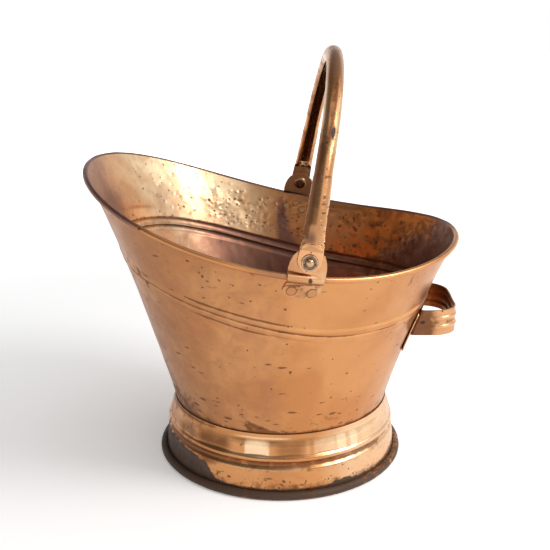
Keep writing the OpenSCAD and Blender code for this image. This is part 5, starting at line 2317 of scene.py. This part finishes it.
@dataclass
class Studio:
    """White floor, pale sky, soft lamps and the camera."""

    aim: tuple[float, float, float] = (0.0012, 0, 0.19749)
    distance: float = 1.01755
    elevation: float = 17.466
    focal_pixels: float = 941.8
    image_pixels: float = 550.0
    sensor: float = 36.0
    floor_half: float = 6.0
    near_glow: float = 0.25

    def camera(self) -> None:
        """Adds the camera at the photograph's viewing angle."""
        data = bpy.data.cameras.new("view")
        data.sensor_width = self.sensor
        data.lens = self.sensor * self.focal_pixels / self.image_pixels
        made = bpy.data.objects.new("view", data)
        e = math.radians(self.elevation)
        back = Vector((0, -math.cos(e), math.sin(e)))
        made.location = Vector(self.aim) + back * self.distance
        made.rotation_euler = (-back).to_track_quat("-Z", "Y").to_euler()
        bpy.context.scene.collection.objects.link(made)
        bpy.context.scene.camera = made

    def floor(self) -> None:
        """Adds the floor, which reads white and keeps the shadow."""
        h = self.floor_half
        mesh = bpy.data.meshes.new("floor")
        mesh.from_pydata([(-h, -h, 0), (h, -h, 0), (h, h, 0), (-h, h, 0)], [], [(0, 1, 2, 3)])
        made = bpy.data.objects.new("floor", mesh)
        bpy.context.scene.collection.objects.link(made)
        material = bpy.data.materials.new("studio_floor")
        paint = Paint(material)
        matt = paint.node("ShaderNodeBsdfDiffuse", inputs={"Color": (0.86, 0.86, 0.86)})
        where = paint.node("ShaderNodeTexCoord", output="Object")
        away = paint.node("ShaderNodeVectorMath", {"operation": "LENGTH"}, {0: where}, "Value")
        level = self.near_glow + paint.band(away, 0.55, 1.9) * (1.0 - self.near_glow)
        glow = paint.node("ShaderNodeEmission", inputs={"Color": (1, 1, 1), "Strength": level})
        paper = paint.node("ShaderNodeBsdfDiffuse", inputs={"Color": (0.97, 0.97, 0.97)})
        lifted = paint.node("ShaderNodeAddShader", inputs={0: paper, 1: glow})
        seen = self.seen(paint)
        paint.surface(paint.node("ShaderNodeMixShader", inputs={0: seen, 1: matt, 2: lifted}))
        made.data.materials.append(material)

    def seen(self, paint: Paint) -> Value:
        """1 for rays from the camera, for mirror rays and for rays through glass.

        Args:
            paint: the node tree that asks.

        Returns:
            The value.
        """
        straight = paint.node("ShaderNodeLightPath", output="Is Camera Ray")
        shiny = paint.node("ShaderNodeLightPath", output="Is Glossy Ray")
        through = paint.node("ShaderNodeLightPath", output="Is Transmission Ray")
        return straight.math("MAXIMUM", straight, shiny.math("MAXIMUM", shiny, through))

    def sky(self) -> None:
        """Makes the world: a white backdrop under a dimmer ceiling, and light from the right."""
        world = bpy.data.worlds.new("studio")
        bpy.context.scene.world = world
        paint = Paint(world)
        way = paint.node("ShaderNodeTexCoord", output="Generated")
        right = paint.node("ShaderNodeSeparateXYZ", inputs={"Vector": way}, output="X")
        up = paint.node("ShaderNodeSeparateXYZ", inputs={"Vector": way}, output="Z")
        side = paint.band(right, -0.5, 0.9)
        level = 0.2 + side * 0.4 + paint.band(up, 0.1, 0.95) * 0.14
        ceiling = 0.19 + side * 0.3
        backdrop = ceiling + (1 - paint.band(up, 0.2, 0.52)) * (1 - ceiling)
        soft, white = (
            paint.node(
                "ShaderNodeBackground",
                inputs={"Color": paint.node("ShaderNodeCombineColor", inputs={0: grey, 1: grey, 2: grey})},
            )
            for grey in (level, backdrop)
        )
        both = paint.node("ShaderNodeMixShader", inputs={0: self.seen(paint), 1: soft, 2: white})
        paint.node("ShaderNodeOutputWorld", inputs={"Surface": both})

    def lamps(self) -> list[Softbox]:
        """The studio's lamps.

        Returns:
            The lamps.
        """
        return [
            Softbox("key_right", 70, 37, 2.2, 0.85, 0.85, 11.2),
            Softbox("fill_front", 36, 37, 2.4, 1.6, 1.2, 0.9),
            Softbox("fill_side", 103, 37, 2.4, 1.5, 1.2, 1.1),
            Softbox("overhead", 10, 78, 1.8, 1.2, 1.2, 0.7),
        ]

    def add(self) -> None:
        """Builds the studio."""
        self.camera()
        self.floor()
        self.sky()
        for lamp in self.lamps():
            lamp.add(Vector(self.aim))
        bpy.context.scene.view_settings.view_transform = "Standard"
        LOG.info("studio: camera, floor, sky and %d lamps", len(self.lamps()))


# Everything


def main() -> None:
    """Builds the scuttle piece by piece, then the studio."""
    logging.basicConfig(level=logging.INFO, format="%(name)s: %(message)s")
    shop = Workshop()
    BodyShell().add(shop)
    FootRing().add(shop)
    ear = Ear()
    ear.add(shop)
    Pivots(ear).add(shop)
    Bail(ear).add(shop)
    Strap().add(shop)
    shop.dress_node("rim_wire", Finish.IRON)
    shop.dress_node("foot_wire", Finish.IRON)
    shop.dress_node("bottom_plate", Finish.BOTTOM)
    shop.dress_node("bottom_solder", Finish.SOLDER)
    Studio().add()
    bpy.context.view_layer.update()


if __name__ == "__main__":
    main()
